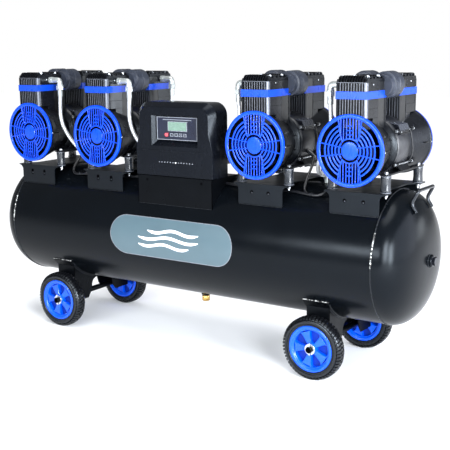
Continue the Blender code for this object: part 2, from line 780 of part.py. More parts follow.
def build_safety_valve():
    """A spring relief valve on the manifold, with the ring that lifts its pin."""
    body = rod("thread", "Z", (0, 0), (0.622, 0.634), 0.0049, 10)
    join(body, rod("hexagon", "Z", (0, 0), (0.6323, 0.644), 0.0115, 6))
    join(body, rod("bonnet", "Z", (0, 0), (0.642, 0.664), 0.0085, 14))
    cut(body, rod("pin_hole", "Z", (0, 0), (0.650, 0.67), 0.0024, 10))
    finish(body, "safety_valve", STEEL)
    pin = rod("pin", "Z", (0, 0), (0.652, 0.672), 0.0020, 8)
    ring_r = 0.0085
    loop = [(u, 0.0, v) for u, v in arc((0.0, 0.6795), ring_r, -84, 264, 14)]
    join(pin, tube("ring", loop, 0.0014, 1))
    finish(pin, "safety_ring", STEEL, hinge=(0, 0, 0.664))


def build_drain_knob():
    knob = rod("screw", "Z", (0, 0), (0.1465, 0.165), 0.0072, 12)
    join(knob, rod("grip", "Z", (0, 0), (0.128, 0.1475), 0.0135, 14))
    finish(knob, "drain_knob", STEEL, hinge=(0, 0, 0.1475))


# ---- assembly -----------------------------------------------------------------------
def build_pump(number, x):
    build_pump_bracket(number, x)
    build_motor(number, x)
    build_rotor(number, x)
    for side, place in ((-1, "front"), (1, "rear")):
        build_head(number, x, side, f"head_{place}")
        build_fan_cover(number, x, side, f"fan_cover_{place}")


def build_compressor():
    build_tank()
    build_end_plug(1, "end_plug_right")
    build_end_plug(-1, "end_plug_left")
    build_handle()
    for side, end_name in ((-1, "left"), (1, "right")):
        build_axle_frame(side, f"axle_frame_{end_name}")
        for end, face in ((-1, "front"), (1, "rear")):
            build_wheel(side, end, (f"tyre_{face}_{end_name}", f"hub_{face}_{end_name}"))
    for number, x in enumerate(PUMP_X, start=1):
        build_pump(number, x)
    build_control_base()
    build_control_cover()
    build_display_panel()
    build_buttons()
    build_outer_air_line("air_line_left", PUMP_X[0], 1)
    build_outer_air_line("air_line_right", PUMP_X[3], -1)
    build_centre_air_line()
    build_wiring(-1, "wiring_left")
    build_wiring(1, "wiring_right")
    build_outlet_valve()
    build_safety_valve()
    build_drain_knob()


build_compressor()
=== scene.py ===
from contextlib import contextmanager
from math import asin, cos, hypot, pi, radians, sin, sqrt, tau

import bmesh
import bpy
from mathutils import Matrix, Vector


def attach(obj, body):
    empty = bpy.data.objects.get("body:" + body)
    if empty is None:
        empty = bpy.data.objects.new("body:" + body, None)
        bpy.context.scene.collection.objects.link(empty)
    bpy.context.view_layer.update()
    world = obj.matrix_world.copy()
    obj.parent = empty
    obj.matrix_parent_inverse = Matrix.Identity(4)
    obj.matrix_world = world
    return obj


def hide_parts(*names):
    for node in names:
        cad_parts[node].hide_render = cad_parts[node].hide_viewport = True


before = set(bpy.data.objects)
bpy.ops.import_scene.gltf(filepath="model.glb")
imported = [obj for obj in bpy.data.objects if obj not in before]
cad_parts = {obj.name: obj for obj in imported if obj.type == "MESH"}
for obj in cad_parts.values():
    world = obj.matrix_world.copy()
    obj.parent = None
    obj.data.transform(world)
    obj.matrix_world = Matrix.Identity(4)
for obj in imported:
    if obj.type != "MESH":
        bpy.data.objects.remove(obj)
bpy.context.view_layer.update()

# The looks of the four-motor air compressor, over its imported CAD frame.
# X runs along the tank, the front is at -Y, and all lengths are metres.

# ---- sizes and places ---------------------------------------------------------------
# They match the CAD source, but BLOCK_Z and CORE_Z lie about a millimetre inside its block.
# The nameplate and the tread blocks are only here.
FRAME_BODY = "chassis"
ORIGIN = (0, 0, 0)
TANK_R, TANK_Z, SEAM_X, DISH = 0.208, 0.3716, 0.7183, 0.0991
POLE = SEAM_X + DISH
NAMEPLATE_X, NAMEPLATE_HALF = (-0.25, 0.248), 0.068
WHEEL_X, WHEEL_Y, WHEEL_HALF, WHEEL_Z = 0.522, 0.1784, 0.0224, 0.1
RIM_R, AXLE_R, TREADS = 0.0735, 0.01, 54
OUTER_X, INNER_X = 0.637, 0.317
PUMPS = ((1, -OUTER_X), (2, -INNER_X), (3, INNER_X), (4, OUTER_X))
PUMP_Z, COVER_R = 0.707, 0.105
PLATE_Z = (0.58, 0.584)
BUFFER_X, BUFFER_Y = 0.085, 0.12
BLOCK_X, BLOCK_Z, CORE_Z = 0.0478, (0.7988, 0.899), 0.7665
SILENCER_X, SILENCER_Z = 0.041, 0.8885
ELBOW_X, ELBOW_Y, ELBOW_Z = 0.0958, 0.12, 0.891
VALVE_Y, LEVER_Z = 0.1, 0.612
BOX_FRONT = -0.172
PANEL_X, PANEL_Z = (-0.073, 0.088), (0.706, 0.78)
BUTTON_Z = 0.7225
BUTTONS = (("power", -0.034), ("menu", -0.012), ("up", 0.0055), ("down", 0.023), ("enter", 0.0405))


# ---- materials ----------------------------------------------------------------------
def srgb(*levels):
    """Display levels of 0 to 255 as linear colour."""
    return tuple((v / 255 / 12.92 if v < 11 else ((v / 255 + 0.055) / 1.055) ** 2.4) for v in levels)


class Shader:
    """A Principled material with a small node tree round it."""

    def __init__(self, name, rough=0.5, metal=0.0, coat=0.0, coat_rough=0.1, specular=0.5, tint=(1, 1, 1)):
        self.mat = bpy.data.materials.new(name)
        self.mat.use_nodes = True
        self.tree = self.mat.node_tree
        self.bsdf = self.tree.nodes["Principled BSDF"]
        for key, value in (
            ("Roughness", rough), ("Metallic", metal),
            ("Coat Weight", coat), ("Coat Roughness", coat_rough),
            ("Specular IOR Level", specular), ("Specular Tint", (*tint, 1.0)),
        ):
            self.bsdf.inputs[key].default_value = value
        self.coords = self.tree.nodes.new("ShaderNodeTexCoord").outputs["Object"]
        self.normal = None

    def node(self, kind, **values):
        """A new node; each value sets a property of it or one of its inputs."""
        made = self.tree.nodes.new("ShaderNode" + kind)
        for key, value in values.items():
            if hasattr(made, key):
                setattr(made, key, value)
            else:
                made.inputs[key.replace("_", " ")].default_value = value
        return made

    def link(self, out, into):
        """Joins an output to an input."""
        self.tree.links.new(out, into)
        return self

    def noise(self, scale, detail=3.0, stretch=None, rough=0.55):
        """A noise value over the object, stretched where asked."""
        made = self.node("TexNoise", Scale=scale, Detail=detail, Roughness=rough)
        where = self.coords
        if stretch:
            mapping = self.node("Mapping")
            mapping.inputs["Scale"].default_value = stretch
            self.link(where, mapping.inputs["Vector"])
            where = mapping.outputs["Vector"]
        self.link(where, made.inputs["Vector"])
        return made.outputs["Fac"]

    def ramp(self, fac, low, high, start=0.3, end=0.7):
        """A colour from low to high as a value goes from start to end."""
        made = self.node("ValToRGB")
        stops = made.color_ramp.elements
        stops[0].position, stops[1].position = start, end
        stops[0].color, stops[1].color = (*low, 1.0), (*high, 1.0)
        self.link(fac, made.inputs["Fac"])
        return made.outputs["Color"]

    def spread(self, fac, low, high):
        """A number from low to high as a value goes from 0.3 to 0.7."""
        made = self.node("MapRange", From_Min=0.3, From_Max=0.7, To_Min=low, To_Max=high)
        self.link(fac, made.inputs["Value"])
        return made.outputs["Result"]

    def bump(self, height, strength, distance):
        """Adds relief on top of any that is there already."""
        made = self.node("Bump", Strength=strength, Distance=distance)
        self.link(height, made.inputs["Height"])
        if self.normal:
            self.link(self.normal, made.inputs["Normal"])
        self.normal = made.outputs["Normal"]
        self.link(self.normal, self.bsdf.inputs["Normal"])
        return self

    def colour(self, out):
        """Colours the surface from an output."""
        return self.link(out, self.bsdf.inputs["Base Color"])

    def roughness(self, out):
        """Sets the gloss from an output."""
        return self.link(out, self.bsdf.inputs["Roughness"])


def surface(name, colour, rough, blotch=0.25, scale=14.0, grain=None, spread=0.07, **kinds):
    """A coloured surface with soft blotches, uneven gloss and, where given, a fine grain."""
    made = Shader(name, rough, **kinds)
    soft = made.noise(scale, 4.0)
    low = tuple(max(0.0, c * (1 - blotch)) for c in colour)
    high = tuple(c * (1 + blotch) for c in colour)
    made.colour(made.ramp(soft, low, high))
    smears = made.noise(scale * 2.7, 5.0, stretch=(1.0, 1.0, 0.45))
    made.roughness(made.spread(smears, max(0.02, rough - spread), rough + spread))
    if grain:
        size, strength, depth = grain
        made.bump(made.noise(size, 2.0), strength, depth)
    return made.mat


def braid_material():
    """Woven steel wire: two crossing sets of strands along the tube's own map."""
    made = Shader("hose_braid", 0.34, metal=0.6)
    around = made.node("UVMap")
    waves = []
    for lean in (1, -1):
        mapping = made.node("Mapping")
        mapping.inputs["Rotation"].default_value = (0, 0, lean * radians(45))
        made.link(around.outputs["UV"], mapping.inputs["Vector"])
        wave = made.node("TexWave", Scale=1.1)
        made.link(mapping.outputs["Vector"], wave.inputs["Vector"])
        waves.append(wave.outputs["Fac"])
    both = made.node("Math", operation="MAXIMUM")
    made.link(waves[0], both.inputs[0]).link(waves[1], both.inputs[1])
    weave = both.outputs["Value"]
    made.colour(made.ramp(weave, srgb(158, 160, 164), srgb(216, 218, 221), 0.2, 0.75))
    made.roughness(made.spread(weave, 0.44, 0.32))
    made.bump(weave, 0.2, 0.0003)
    return made.mat


def laminated_material():
    """Stacked sheet steel under black paint: fine rings across the motor's axis."""
    made = Shader("stator_paint", 0.34, coat=0.15, coat_rough=0.25)
    soft = made.noise(18.0, 4.0)
    made.colour(made.ramp(soft, srgb(16, 17, 21), srgb(25, 27, 33)))
    made.roughness(made.spread(made.noise(40.0, 4.0), 0.27, 0.42))
    rings = made.node("TexWave", Scale=220.0, Distortion=0.4, bands_direction="Y")
    made.link(made.coords, rings.inputs["Vector"])
    made.bump(rings.outputs["Fac"], 0.25, 0.0003)
    made.bump(made.noise(700.0, 2.0), 0.1, 0.0003)
    return made.mat


def spatter_and_highlight_material():
    """A weld line left bare in spots between burnt paint; on the front of the tank's seams it also serves
    as a painted highlight.
    """
    made = Shader("bare_weld_and_painted_highlight", 0.36, metal=0.4)
    made.colour(made.ramp(made.noise(170.0, 2.0), srgb(16, 16, 17), srgb(206, 206, 204), 0.47, 0.6))
    made.roughness(made.spread(made.noise(90.0), 0.28, 0.5))
    made.bump(made.noise(350.0, 2.0), 0.5, 0.0006)
    return made.mat


def lcd_material():
    """A pale green liquid-crystal window with faint cells."""
    made = Shader("lcd_glass", 0.12, coat=0.6, coat_rough=0.05)
    cells = made.node("TexBrick", Scale=90.0)
    cells.offset = 0.0
    cells.inputs["Color1"].default_value = (*srgb(104, 128, 116), 1)
    cells.inputs["Color2"].default_value = (*srgb(98, 123, 110), 1)
    cells.inputs["Mortar"].default_value = (*srgb(80, 104, 92), 1)
    cells.inputs["Mortar Size"].default_value = 0.03
    turn = made.node("Mapping")
    turn.inputs["Rotation"].default_value = (radians(90), 0, 0)
    made.link(made.coords, turn.inputs["Vector"])
    made.link(turn.outputs["Vector"], cells.inputs["Vector"])
    made.colour(cells.outputs["Color"])
    made.roughness(made.spread(made.noise(60.0), 0.08, 0.2))
    return made.mat


# Painted reflection colour: a bluish cast of the studio light, put into the dark materials' specular tint.
COOL_REFLECTION_TINT = (0.84, 0.92, 1.0)
PAINT = surface("tank_paint", srgb(5, 7, 10), 0.24, 0.12, 6.0, (520.0, 0.03, 0.0003), 0.03,
                specular=0.11, tint=COOL_REFLECTION_TINT)
SHEET = surface("sheet_paint", srgb(9, 12, 16), 0.36, 0.15, 12.0, (650.0, 0.1, 0.0004), 0.06,
                specular=0.16, tint=COOL_REFLECTION_TINT)
# Darker sheet paint: the control base's tone, and painted shade on the axle frames under the tank.
DARK_SHEET_AND_SHADE = surface("dark_sheet_and_painted_shade", srgb(4, 5, 7), 0.32, 0.15, 12.0, (650.0, 0.1, 0.0004), 0.06,
               specular=0.07, tint=COOL_REFLECTION_TINT)
DARK = surface("black_enamel", srgb(11, 12, 15), 0.32, 0.2, 16.0, (600.0, 0.1, 0.0003), 0.07)
CAST = surface("cast_black", srgb(8, 9, 13), 0.32, 0.25, 22.0, (420.0, 0.15, 0.0004), 0.08,
               specular=0.2, tint=COOL_REFLECTION_TINT)
GLOSS = surface("gloss_black", srgb(10, 11, 16), 0.2, 0.2, 12.0, (260.0, 0.04, 0.0004), 0.05,
                specular=0.34, coat=0.16, coat_rough=0.08, tint=COOL_REFLECTION_TINT)
BLUE = surface("blue_plastic", srgb(0, 58, 196), 0.27, 0.1, 16.0, (800.0, 0.05, 0.0002), 0.06,
               specular=0.25, coat=0.12, coat_rough=0.1)
HUB_BLUE = surface("hub_plastic", srgb(0, 72, 206), 0.2, 0.14, 18.0, (500.0, 0.06, 0.0003), 0.06,
                   specular=0.3, coat=0.2, coat_rough=0.08)
# Painted shade: a darker copy of the hub's blue, used on its recessed web.
HUB_PAINTED_SHADE = surface("hub_recess_painted_shade", srgb(0, 40, 136), 0.4, 0.2, 18.0, (500.0, 0.06, 0.0003), 0.06,
                    specular=0.15)
BAND = surface("blue_band", srgb(0, 56, 170), 0.3, 0.08, 20.0, (700.0, 0.06, 0.0002), 0.06,
               specular=0.35)
MOULDED = surface("moulded_black", srgb(9, 11, 16), 0.26, 0.12, 10.0, (1500.0, 0.25, 0.0001), 0.05,
                  specular=0.13, tint=COOL_REFLECTION_TINT)
RUBBER = surface("tyre_rubber", srgb(11, 12, 15), 0.27, 0.22, 30.0, (900.0, 0.1, 0.0003), 0.06,
                 specular=0.36, tint=COOL_REFLECTION_TINT)
BUFFER = surface("buffer_rubber", srgb(24, 28, 34), 0.22, 0.2, 40.0, (700.0, 0.15, 0.0003), 0.08)
STEEL = surface("zinc_steel", srgb(196, 200, 205), 0.28, 0.12, 60.0, (900.0, 0.1, 0.0002), 0.08, metal=1.0)
NICKEL = surface("nickel_plate", srgb(176, 181, 180), 0.38, 0.08, 30.0, (400.0, 0.05, 0.0002), 0.05,
                 metal=0.7)
BRASS = surface("brass", srgb(198, 160, 92), 0.3, 0.15, 50.0, (600.0, 0.1, 0.0002), 0.08, metal=1.0)
CABLE = surface("cable_sheath", srgb(12, 13, 17), 0.33, 0.2, 30.0, (500.0, 0.12, 0.0003), 0.08)
SILVER = surface("silver_trim", srgb(122, 126, 134), 0.3, 0.08, 30.0, (900.0, 0.06, 0.0001), 0.05,
                 metal=0.35)
NAVY = surface("panel_film", srgb(11, 17, 36), 0.3, 0.1, 14.0, (1200.0, 0.1, 0.0001), 0.05)
# Painted highlight: a lighter grey used for the terminal box's sloped lid.
SATIN_LID_HIGHLIGHT = surface("satin_grey_painted_highlight", srgb(62, 65, 73), 0.28, 0.15, 30.0, (700.0, 0.08, 0.0003), 0.07, metal=0.3)
INTAKE = surface("intake_plastic", srgb(38, 42, 52), 0.4, 0.12, 20.0, (700.0, 0.1, 0.0003), 0.06,
                 specular=0.35)
# Grey metal for the buffers' plates and the screw in each flange hole; on the cylinder heads the same grey
# is a painted highlight on fin tips, one corner post and the top front edge.
GREY_METAL_AND_HIGHLIGHT = surface("grey_metal_and_painted_highlight", srgb(92, 95, 103), 0.42, 0.25, 90.0, (900.0, 0.1, 0.0002), 0.08, metal=0.4)
RED = surface("red_cap", srgb(236, 72, 80), 0.35, 0.08, 40.0, (900.0, 0.1, 0.0001), 0.05)
PRINT = surface("grey_print", srgb(150, 154, 162), 0.4, 0.05, 30.0, (900.0, 0.05, 0.0001), 0.05)
WHITE = surface("white_print", srgb(236, 238, 240), 0.4, 0.03, 30.0, (900.0, 0.05, 0.0001), 0.05)
PLATE_BLUE = surface("plate_film", srgb(66, 85, 93), 0.36, 0.05, 9.0, (1100.0, 0.06, 0.0001), 0.05)
WELD = surface("weld_bead", srgb(15, 16, 19), 0.3, 0.5, 160.0, (350.0, 0.5, 0.0006), 0.1,
               specular=0.3, tint=COOL_REFLECTION_TINT)
BARE_WELD_AND_HIGHLIGHT = spatter_and_highlight_material()
# Painted shadow: near-black for the insides of holes, bores and vents, drawn as discs and rods.
HOLE_SHADOW = surface("deep_shadow", srgb(3, 3, 4), 0.7, 0.2, 30.0, (500.0, 0.2, 0.0003), 0.05, specular=0.0)
BRAID = braid_material()
STATOR = laminated_material()
LCD = lcd_material()

# Each axis with the turn that takes Z to it.
AXES = {
    "X": Matrix(((0, 0, 1), (1, 0, 0), (0, 1, 0))),
    "Y": Matrix(((1, 0, 0), (0, 0, 1), (0, -1, 0))),
    "Z": Matrix.Identity(3),
}


# ---- mesh code ----------------------------------------------------------------------
class Shape:
    """Collects solids in one mesh; each takes one of the shape's materials."""

    def __init__(self, *materials):
        self.bm = bmesh.new()
        self.uv = self.bm.loops.layers.uv.new("map")
        self.materials = materials
        self.current = 0

    def use(self, material):
        """Gives one of the shape's materials to what comes next."""
        self.current = self.materials.index(material)
        return self

    def face(self, verts):
        """A face in the current material, unless the same face is there."""
        try:
            made = self.bm.faces.new(verts)
        except ValueError:
            return None
        made.material_index = self.current
        made.smooth = True
        return made

    def loft(self, rings, cap=True, closed=True):
        """Joins rings of points; each ring has as many points as the next."""
        rows = [[self.bm.verts.new(p) for p in ring] for ring in rings]
        count = len(rows[0])
        for low, high in zip(rows, rows[1:]):
            for i in range(count if closed else count - 1):
                j = (i + 1) % count
                self.face((low[i], low[j], high[j], high[i]))
        if cap:
            self.face(list(reversed(rows[0])))
            self.face(rows[-1])
        return rows

    def box(self, x, y, z):
        """A box between two levels on each axis."""
        low = [(x[0], y[0], z[0]), (x[1], y[0], z[0]), (x[1], y[1], z[0]), (x[0], y[1], z[0])]
        return self.loft([low, [(a, b, z[1]) for a, b, _ in low]])

    def prism(self, outline, axis, ends):
        """An outline in the two other axes, in X, Y, Z order, made thick along one axis."""
        at = "XYZ".index(axis)
        rings = []
        for level in ends:
            ring = []
            for u, v in outline:
                point = [u, v]
                point.insert(at, level)
                ring.append(tuple(point))
            rings.append(ring)
        return self.loft(rings)

    def lathe(self, profile, axis, centre, sides=48, closed=False, wobble=None):
        """A profile of (radius, height) turned round an axis through the centre."""
        turn, middle = AXES[axis], Vector(centre)
        rows = []
        for radius, height in profile:
            if radius < 1e-7:
                rows.append([self.bm.verts.new(middle + turn @ Vector((0, 0, height)))])
                continue
            ring = []
            for i in range(sides):
                a = tau * i / sides
                r = radius * (1 + wobble(a) if wobble else 1)
                ring.append(self.bm.verts.new(middle + turn @ Vector((r * cos(a), r * sin(a), height))))
            rows.append(ring)
        pairs = list(zip(rows, rows[1:]))
        if closed:
            pairs.append((rows[-1], rows[0]))
        for low, high in pairs:
            for i in range(sides):
                j = (i + 1) % sides
                if len(low) == 1 and len(high) == 1:
                    continue
                if len(low) == 1:
                    self.face((low[0], high[j], high[i]))
                elif len(high) == 1:
                    self.face((low[i], low[j], high[0]))
                else:
                    self.face((low[i], low[j], high[j], high[i]))
        if not closed:
            for row in (rows[0], rows[-1]):
                if len(row) > 1:
                    self.face(row)
        return rows

    def rod(self, axis, at, ends, radius, sides=24, chamfer=0.0):
        """A round or many-sided rod along an axis; at is its place on the two others."""
        centre = list(at)
        centre.insert("XYZ".index(axis), 0.0)
        low, high = ends
        profile = [(radius, low), (radius, high)]
        if chamfer:
            profile = [(radius - chamfer, low), (radius, low + chamfer)]
            profile += [(radius, high - chamfer), (radius - chamfer, high)]
        return self.lathe(profile, axis, centre, sides)

    def tube(self, points, radius, sides=12, cap=True):
        """A round tube along points, with one radius or one for each, and a map that follows it."""
        line = [Vector(p) for p in points]
        radii = radius if hasattr(radius, "__len__") else [radius] * len(line)
        across = None
        rows, run, along = [], 0.0, []
        for i, point in enumerate(line):
            ahead = line[min(i + 1, len(line) - 1)] - line[max(i - 1, 0)]
            ahead.normalize()
            if across is None:
                across = ahead.orthogonal().normalized()
            across = (across - ahead * across.dot(ahead)).normalized()
            over = ahead.cross(across)
            ring = []
            for k in range(sides):
                a = tau * k / sides
                offset = across * cos(a) + over * sin(a)
                ring.append(self.bm.verts.new(point + offset * radii[i]))
            run += (point - line[i - 1]).length if i else 0.0
            rows.append(ring)
            along.append(run)
        for i, (low, high) in enumerate(zip(rows, rows[1:])):
            for k in range(sides):
                j = (k + 1) % sides
                made = self.face((low[k], low[j], high[j], high[k]))
                corners = ((k, i), (k + 1, i), (k + 1, i + 1), (k, i + 1))
                for loop, (u, v) in zip(made.loops, corners):
                    loop[self.uv].uv = (u / sides * 8, along[v] / radii[0] / tau * 8)
        if cap:
            self.face(list(reversed(rows[0])))
            self.face(rows[-1])
        return self

    def bead(self, points, radius, pitch=0.0024, seed=1.0):
        """A weld bead: a low rippled line of metal."""
        line = resample([Vector(p) for p in points], pitch / 2)
        radii = []
        for i in range(len(line)):
            lump = 0.16 * sin(pi * i) + 0.14 * sin(i * 2.3 + seed) + 0.1 * sin(i * 0.71 + seed)
            radii.append(radius * (1 + (0.18 if i % 2 else -0.1) + lump))
        return self.tube(line, radii, 7)

    def screw(self, centre, axis, radius, height, hexagon=False):
        """A screw head, proud along the axis' sign, domed or hexagonal."""
        sign, name = 1 if axis[0] == "+" else -1, axis[1]
        at = "XYZ".index(name)
        base = centre[at]
        rest = [c for i, c in enumerate(centre) if i != at]
        if hexagon:
            washer = sorted((base, base + sign * height * 0.25))
            self.rod(name, rest, washer, radius * 1.35, 20, height * 0.05)
            body = sorted((base + sign * height * 0.2, base + sign * height))
            self.rod(name, rest, body, radius, 6, height * 0.1)
            return self
        steps = [(radius, 0.0), (radius, 0.35), (radius * 0.8, 0.75), (radius * 0.45, 1.0), (0.0, 1.0)]
        self.lathe([(r, base + sign * h * height) for r, h in steps], name,
                   [c if i != at else 0.0 for i, c in enumerate(centre)], 16)
        return self

    @contextmanager
    def moved(self, matrix):
        """Moves whatever is made inside the with block."""
        start = len(self.bm.verts)
        yield
        self.bm.verts.ensure_lookup_table()
        bmesh.ops.transform(self.bm, matrix=matrix, verts=self.bm.verts[start:])

    def mesh(self, name, sharp=32):
        """The finished mesh, with edges over the sharp angle left hard."""
        bmesh.ops.recalc_face_normals(self.bm, faces=self.bm.faces)
        data = bpy.data.meshes.new(name)
        self.bm.to_mesh(data)
        self.bm.free()
        for material in self.materials:
            data.materials.append(material)
        data.set_sharp_from_angle(angle=radians(sharp))
        return data


def place(name, data, body, replaces=(), bevel=0.0, matrix=None):
    """Puts a mesh in the scene as a piece that rides on a body."""
    piece = bpy.data.objects.new(name, data)
    bpy.context.scene.collection.objects.link(piece)
    if matrix:
        piece.matrix_world = matrix
    if bevel:
        edges = piece.modifiers.new("edges", "BEVEL")
        edges.width = bevel
        edges.segments = 2
        edges.limit_method = "ANGLE"
        edges.angle_limit = radians(38)
        edges.harden_normals = True
    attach(piece, body)
    if replaces:
        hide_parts(*replaces)
    return piece


def resample(line, step):
    """Points a fixed distance apart along a line of points."""
    out, left = [line[0]], step
    for a, b in zip(line, line[1:]):
        gap = (b - a).length
        while left <= gap:
            out.append(a.lerp(b, left / gap))
            left += step
        left -= gap
    return [*out, line[-1]]


def curve_through(points, per_span=8):
    """A smooth curve that passes through each point."""
    knots = [Vector(p) for p in points]
    knots = [2 * knots[0] - knots[1], *knots, 2 * knots[-1] - knots[-2]]
    route = []
    for a, b, c, d in zip(knots, knots[1:], knots[2:], knots[3:]):
        for step in range(per_span):
            t = step / per_span
            bend = (2 * a - 5 * b + 4 * c - d) * t * t + (3 * b - a - 3 * c + d) * t**3
            route.append(0.5 * (2 * b + (c - a) * t + bend))
    return [*route, knots[-2]]


def rounded(points, radius, steps=6):
    """A line with its corners rounded."""
    line = [Vector(p) for p in points]
    out = [line[0]]
    for a, b, c in zip(line, line[1:], line[2:]):
        back, on = (a - b).normalized(), (c - b).normalized()
        reach = min(radius, (a - b).length * 0.49, (c - b).length * 0.49)
        start, end = b + back * reach, b + on * reach
        for i in range(steps + 1):
            t = i / steps
            out.append((1 - t) ** 2 * start + 2 * t * (1 - t) * b + t * t * end)
    return [*out, line[-1]]


def arc(centre, radius, start, end, steps):
    """Points on an arc between two angles in degrees."""
    turns = [radians(start + (end - start) * i / steps) for i in range(steps + 1)]
    return [(centre[0] + radius * cos(t), centre[1] + radius * sin(t)) for t in turns]


def circle(radius, count):
    """Points on a closed circle about zero; the last is the first again."""
    return [(radius * cos(tau * i / count), radius * sin(tau * i / count)) for i in range(count + 1)]


def degrees_of(opposite, radius):
    """The angle whose sine is opposite over radius."""
    return asin(min(1.0, opposite / radius)) * 180 / pi


def span(side, start, end):
    """Two distances from the middle, taken to one side of it and put in rising order."""
    return sorted((side * start, side * end))


def mirrored(half):
    """Half an outline, followed by its mirror image in the first axis."""
    return [*half, *[(-u, v) for u, v in reversed(half)]]


def both_faces(profile):
    """Half a lathe profile, followed by its mirror image in height."""
    return [*profile, *[(r, -h) for r, h in reversed(profile)]]


def about_shaft(angle):
    """A turn about the pump's shaft."""
    return Matrix.Translation((0, 0, PUMP_Z)) @ Matrix.Rotation(angle, 4, "Y")


def tank_z(y, lift=0.0):
    """The height of the tank's upper skin at y."""
    return TANK_Z + sqrt((TANK_R + lift) ** 2 - y * y)


# ---- tank ---------------------------------------------------------------------------
def make_tank():
    """Barrel, dishes, port sockets and all their welds, in one skin."""
    shape = Shape(PAINT, WELD, BARE_WELD_AND_HIGHLIGHT)
    steps, fullness = 26, 1 / 1.3
    dish = [(TANK_R * cos(pi / 2 * i / steps) ** fullness, SEAM_X + DISH * sin(pi / 2 * i / steps))
            for i in range(steps)]
    dish.append((0.0, POLE))
    barrel = [(TANK_R, -SEAM_X + 2 * SEAM_X * i / 12) for i in range(1, 12)]
    profile = [*[(r, -x) for r, x in reversed(dish)], *barrel, *dish]
    shape.lathe(profile, "X", (0, 0, TANK_Z), 144)
    for y, low, high in ((0, 0.57, 0.5925), (VALVE_Y, 0.535, 0.5705), (0, 0.15, 0.18)):
        shape.rod("Z", (0, y), (low, high), 0.016, 32, 0.001)
    for side in (-1, 1):
        shape.rod("X", (0, TANK_Z), span(side, POLE - 0.012, POLE + 0.008), 0.019, 40, 0.002)
    for side in (-1, 1):
        seam = [(side * SEAM_X, y, TANK_Z + z) for y, z in circle(TANK_R, 180)]
        shape.use(WELD).bead(seam, 0.0018, 0.003, side)
        # Painted highlight: the bright speckled stretch runs only along the front of each seam, where the
        # lights catch it.
        shape.use(BARE_WELD_AND_HIGHLIGHT).bead(seam[75:90], 0.0023, 0.004, side)
        collar = [(side * (POLE - 0.0005), y, TANK_Z + z) for y, z in circle(0.0195, 24)]
        shape.use(WELD).bead(collar, 0.0016, 0.0022, side)
    low = radians(-118)
    long_seam = [(x, -TANK_R * cos(low), TANK_Z + TANK_R * sin(low)) for x in (-0.716, 0.716)]
    shape.bead(long_seam, 0.0018, 0.003)
    for y, seed in ((0.0, 0.58), (VALVE_Y, 0.554)):
        shape.bead([(u, y + v, tank_z(y + v)) for u, v in circle(0.0168, 24)], 0.0015, 0.0022, seed)
    place("tank_shell", shape.mesh("tank_shell", 40), FRAME_BODY, ["tank"])


def make_end_plug(side, name):
    """A hexagon plug with a washer and a small recess, on the flat face of an end port."""
    shape = Shape(GLOSS)
    turn = Matrix.Translation((side * (POLE + 0.0083), 0, TANK_Z))
    if side < 0:
        turn = turn @ Matrix.Rotation(pi, 4, "Z")
    washer = ((0.0, -0.001), (0.0158, -0.001), (0.0158, 0.0012), (0.014, 0.002), (0.0125, 0.002))
    hexagon = ((0.0125, 0.0015), (0.0139, 0.003), (0.0139, 0.0085), (0.0122, 0.0097), (0.0, 0.0097))
    recess = ((0.0062, 0.0092), (0.0062, 0.0099), (0.0048, 0.0099), (0.004, 0.0088), (0.0, 0.0088))
    with shape.moved(turn):
        for profile, sides in ((washer, 36), (hexagon, 6), (recess, 20)):
            shape.lathe(profile, "X", ORIGIN, sides)
    place(f"{name}_body", shape.mesh(name), FRAME_BODY, [name], 0.0004)


def make_handle():
    """A bent rod welded to the right dish at both feet."""
    half = 0.06
    foot, heel, top = (0.7935, 0.524), (0.7765, 0.549), (0.7975, 0.588)
    near = [(x, -half, z) for x, z in (foot, heel, top)]
    route = [*near, *[(x, -y, z) for x, y, z in reversed(near)]]
    shape = Shape(GLOSS, WELD)
    shape.tube(rounded(route, 0.0125, 8), 0.0053, 18)
    shape.use(WELD)
    for side in (-1, 1):
        for edge in (-0.0046, 0.0046):
            line = [(foot[0] + 0.0005, side * half + edge, foot[1] - 0.001),
                    (heel[0] + 0.0035, side * half + edge, heel[1] - 0.0055)]
            shape.bead(line, 0.0018, 0.0022, edge * 900)
    place("handle_rod", shape.mesh("handle_rod", 50), FRAME_BODY, ["handle_right"])


# ---- nameplate ----------------------------------------------------------------------
def on_plate(x, s, lift):
    """A point x along the tank and s round it from the plate's middle, lifted off the skin."""
    a = radians(87.0) + s / TANK_R
    r = TANK_R + lift
    return (x, -r * sin(a), TANK_Z + r * cos(a))


def plate_outline():
    """The long rounded outline, with points close enough together to follow the tank."""
    bends = []
    for centre, start in ((NAMEPLATE_X[1] - NAMEPLATE_HALF, -90), (NAMEPLATE_X[0] + NAMEPLATE_HALF, 90)):
        bends += arc((centre, 0.0), NAMEPLATE_HALF, start, start + 180, 28)
    points = []
    for (x0, s0), (x1, s1) in zip(bends, bends[1:] + bends[:1]):
        parts = max(1, int(hypot(x1 - x0, s1 - s0) / 0.012))
        points += [(x0 + (x1 - x0) * i / parts, s0 + (s1 - s0) * i / parts) for i in range(parts)]
    return points


def add_plate_rim(shape):
    """The plate's edge and a narrow light border round its face."""
    lift, border = 0.0013, 0.0022
    outline = plate_outline()
    outer = [on_plate(x, s, lift) for x, s in outline]
    shape.loft([[on_plate(x, s, -0.0006) for x, s in outline], outer], cap=False)
    scale = (NAMEPLATE_HALF - border) / NAMEPLATE_HALF
    right, left = NAMEPLATE_X[1] - NAMEPLATE_HALF, NAMEPLATE_X[0] + NAMEPLATE_HALF
    inner = []
    for x, s in outline:
        over = x - right if x > right else min(0.0, x - left)
        inner.append(on_plate(x - over + over * scale, s * scale, lift))
    shape.loft([outer, inner], cap=False)


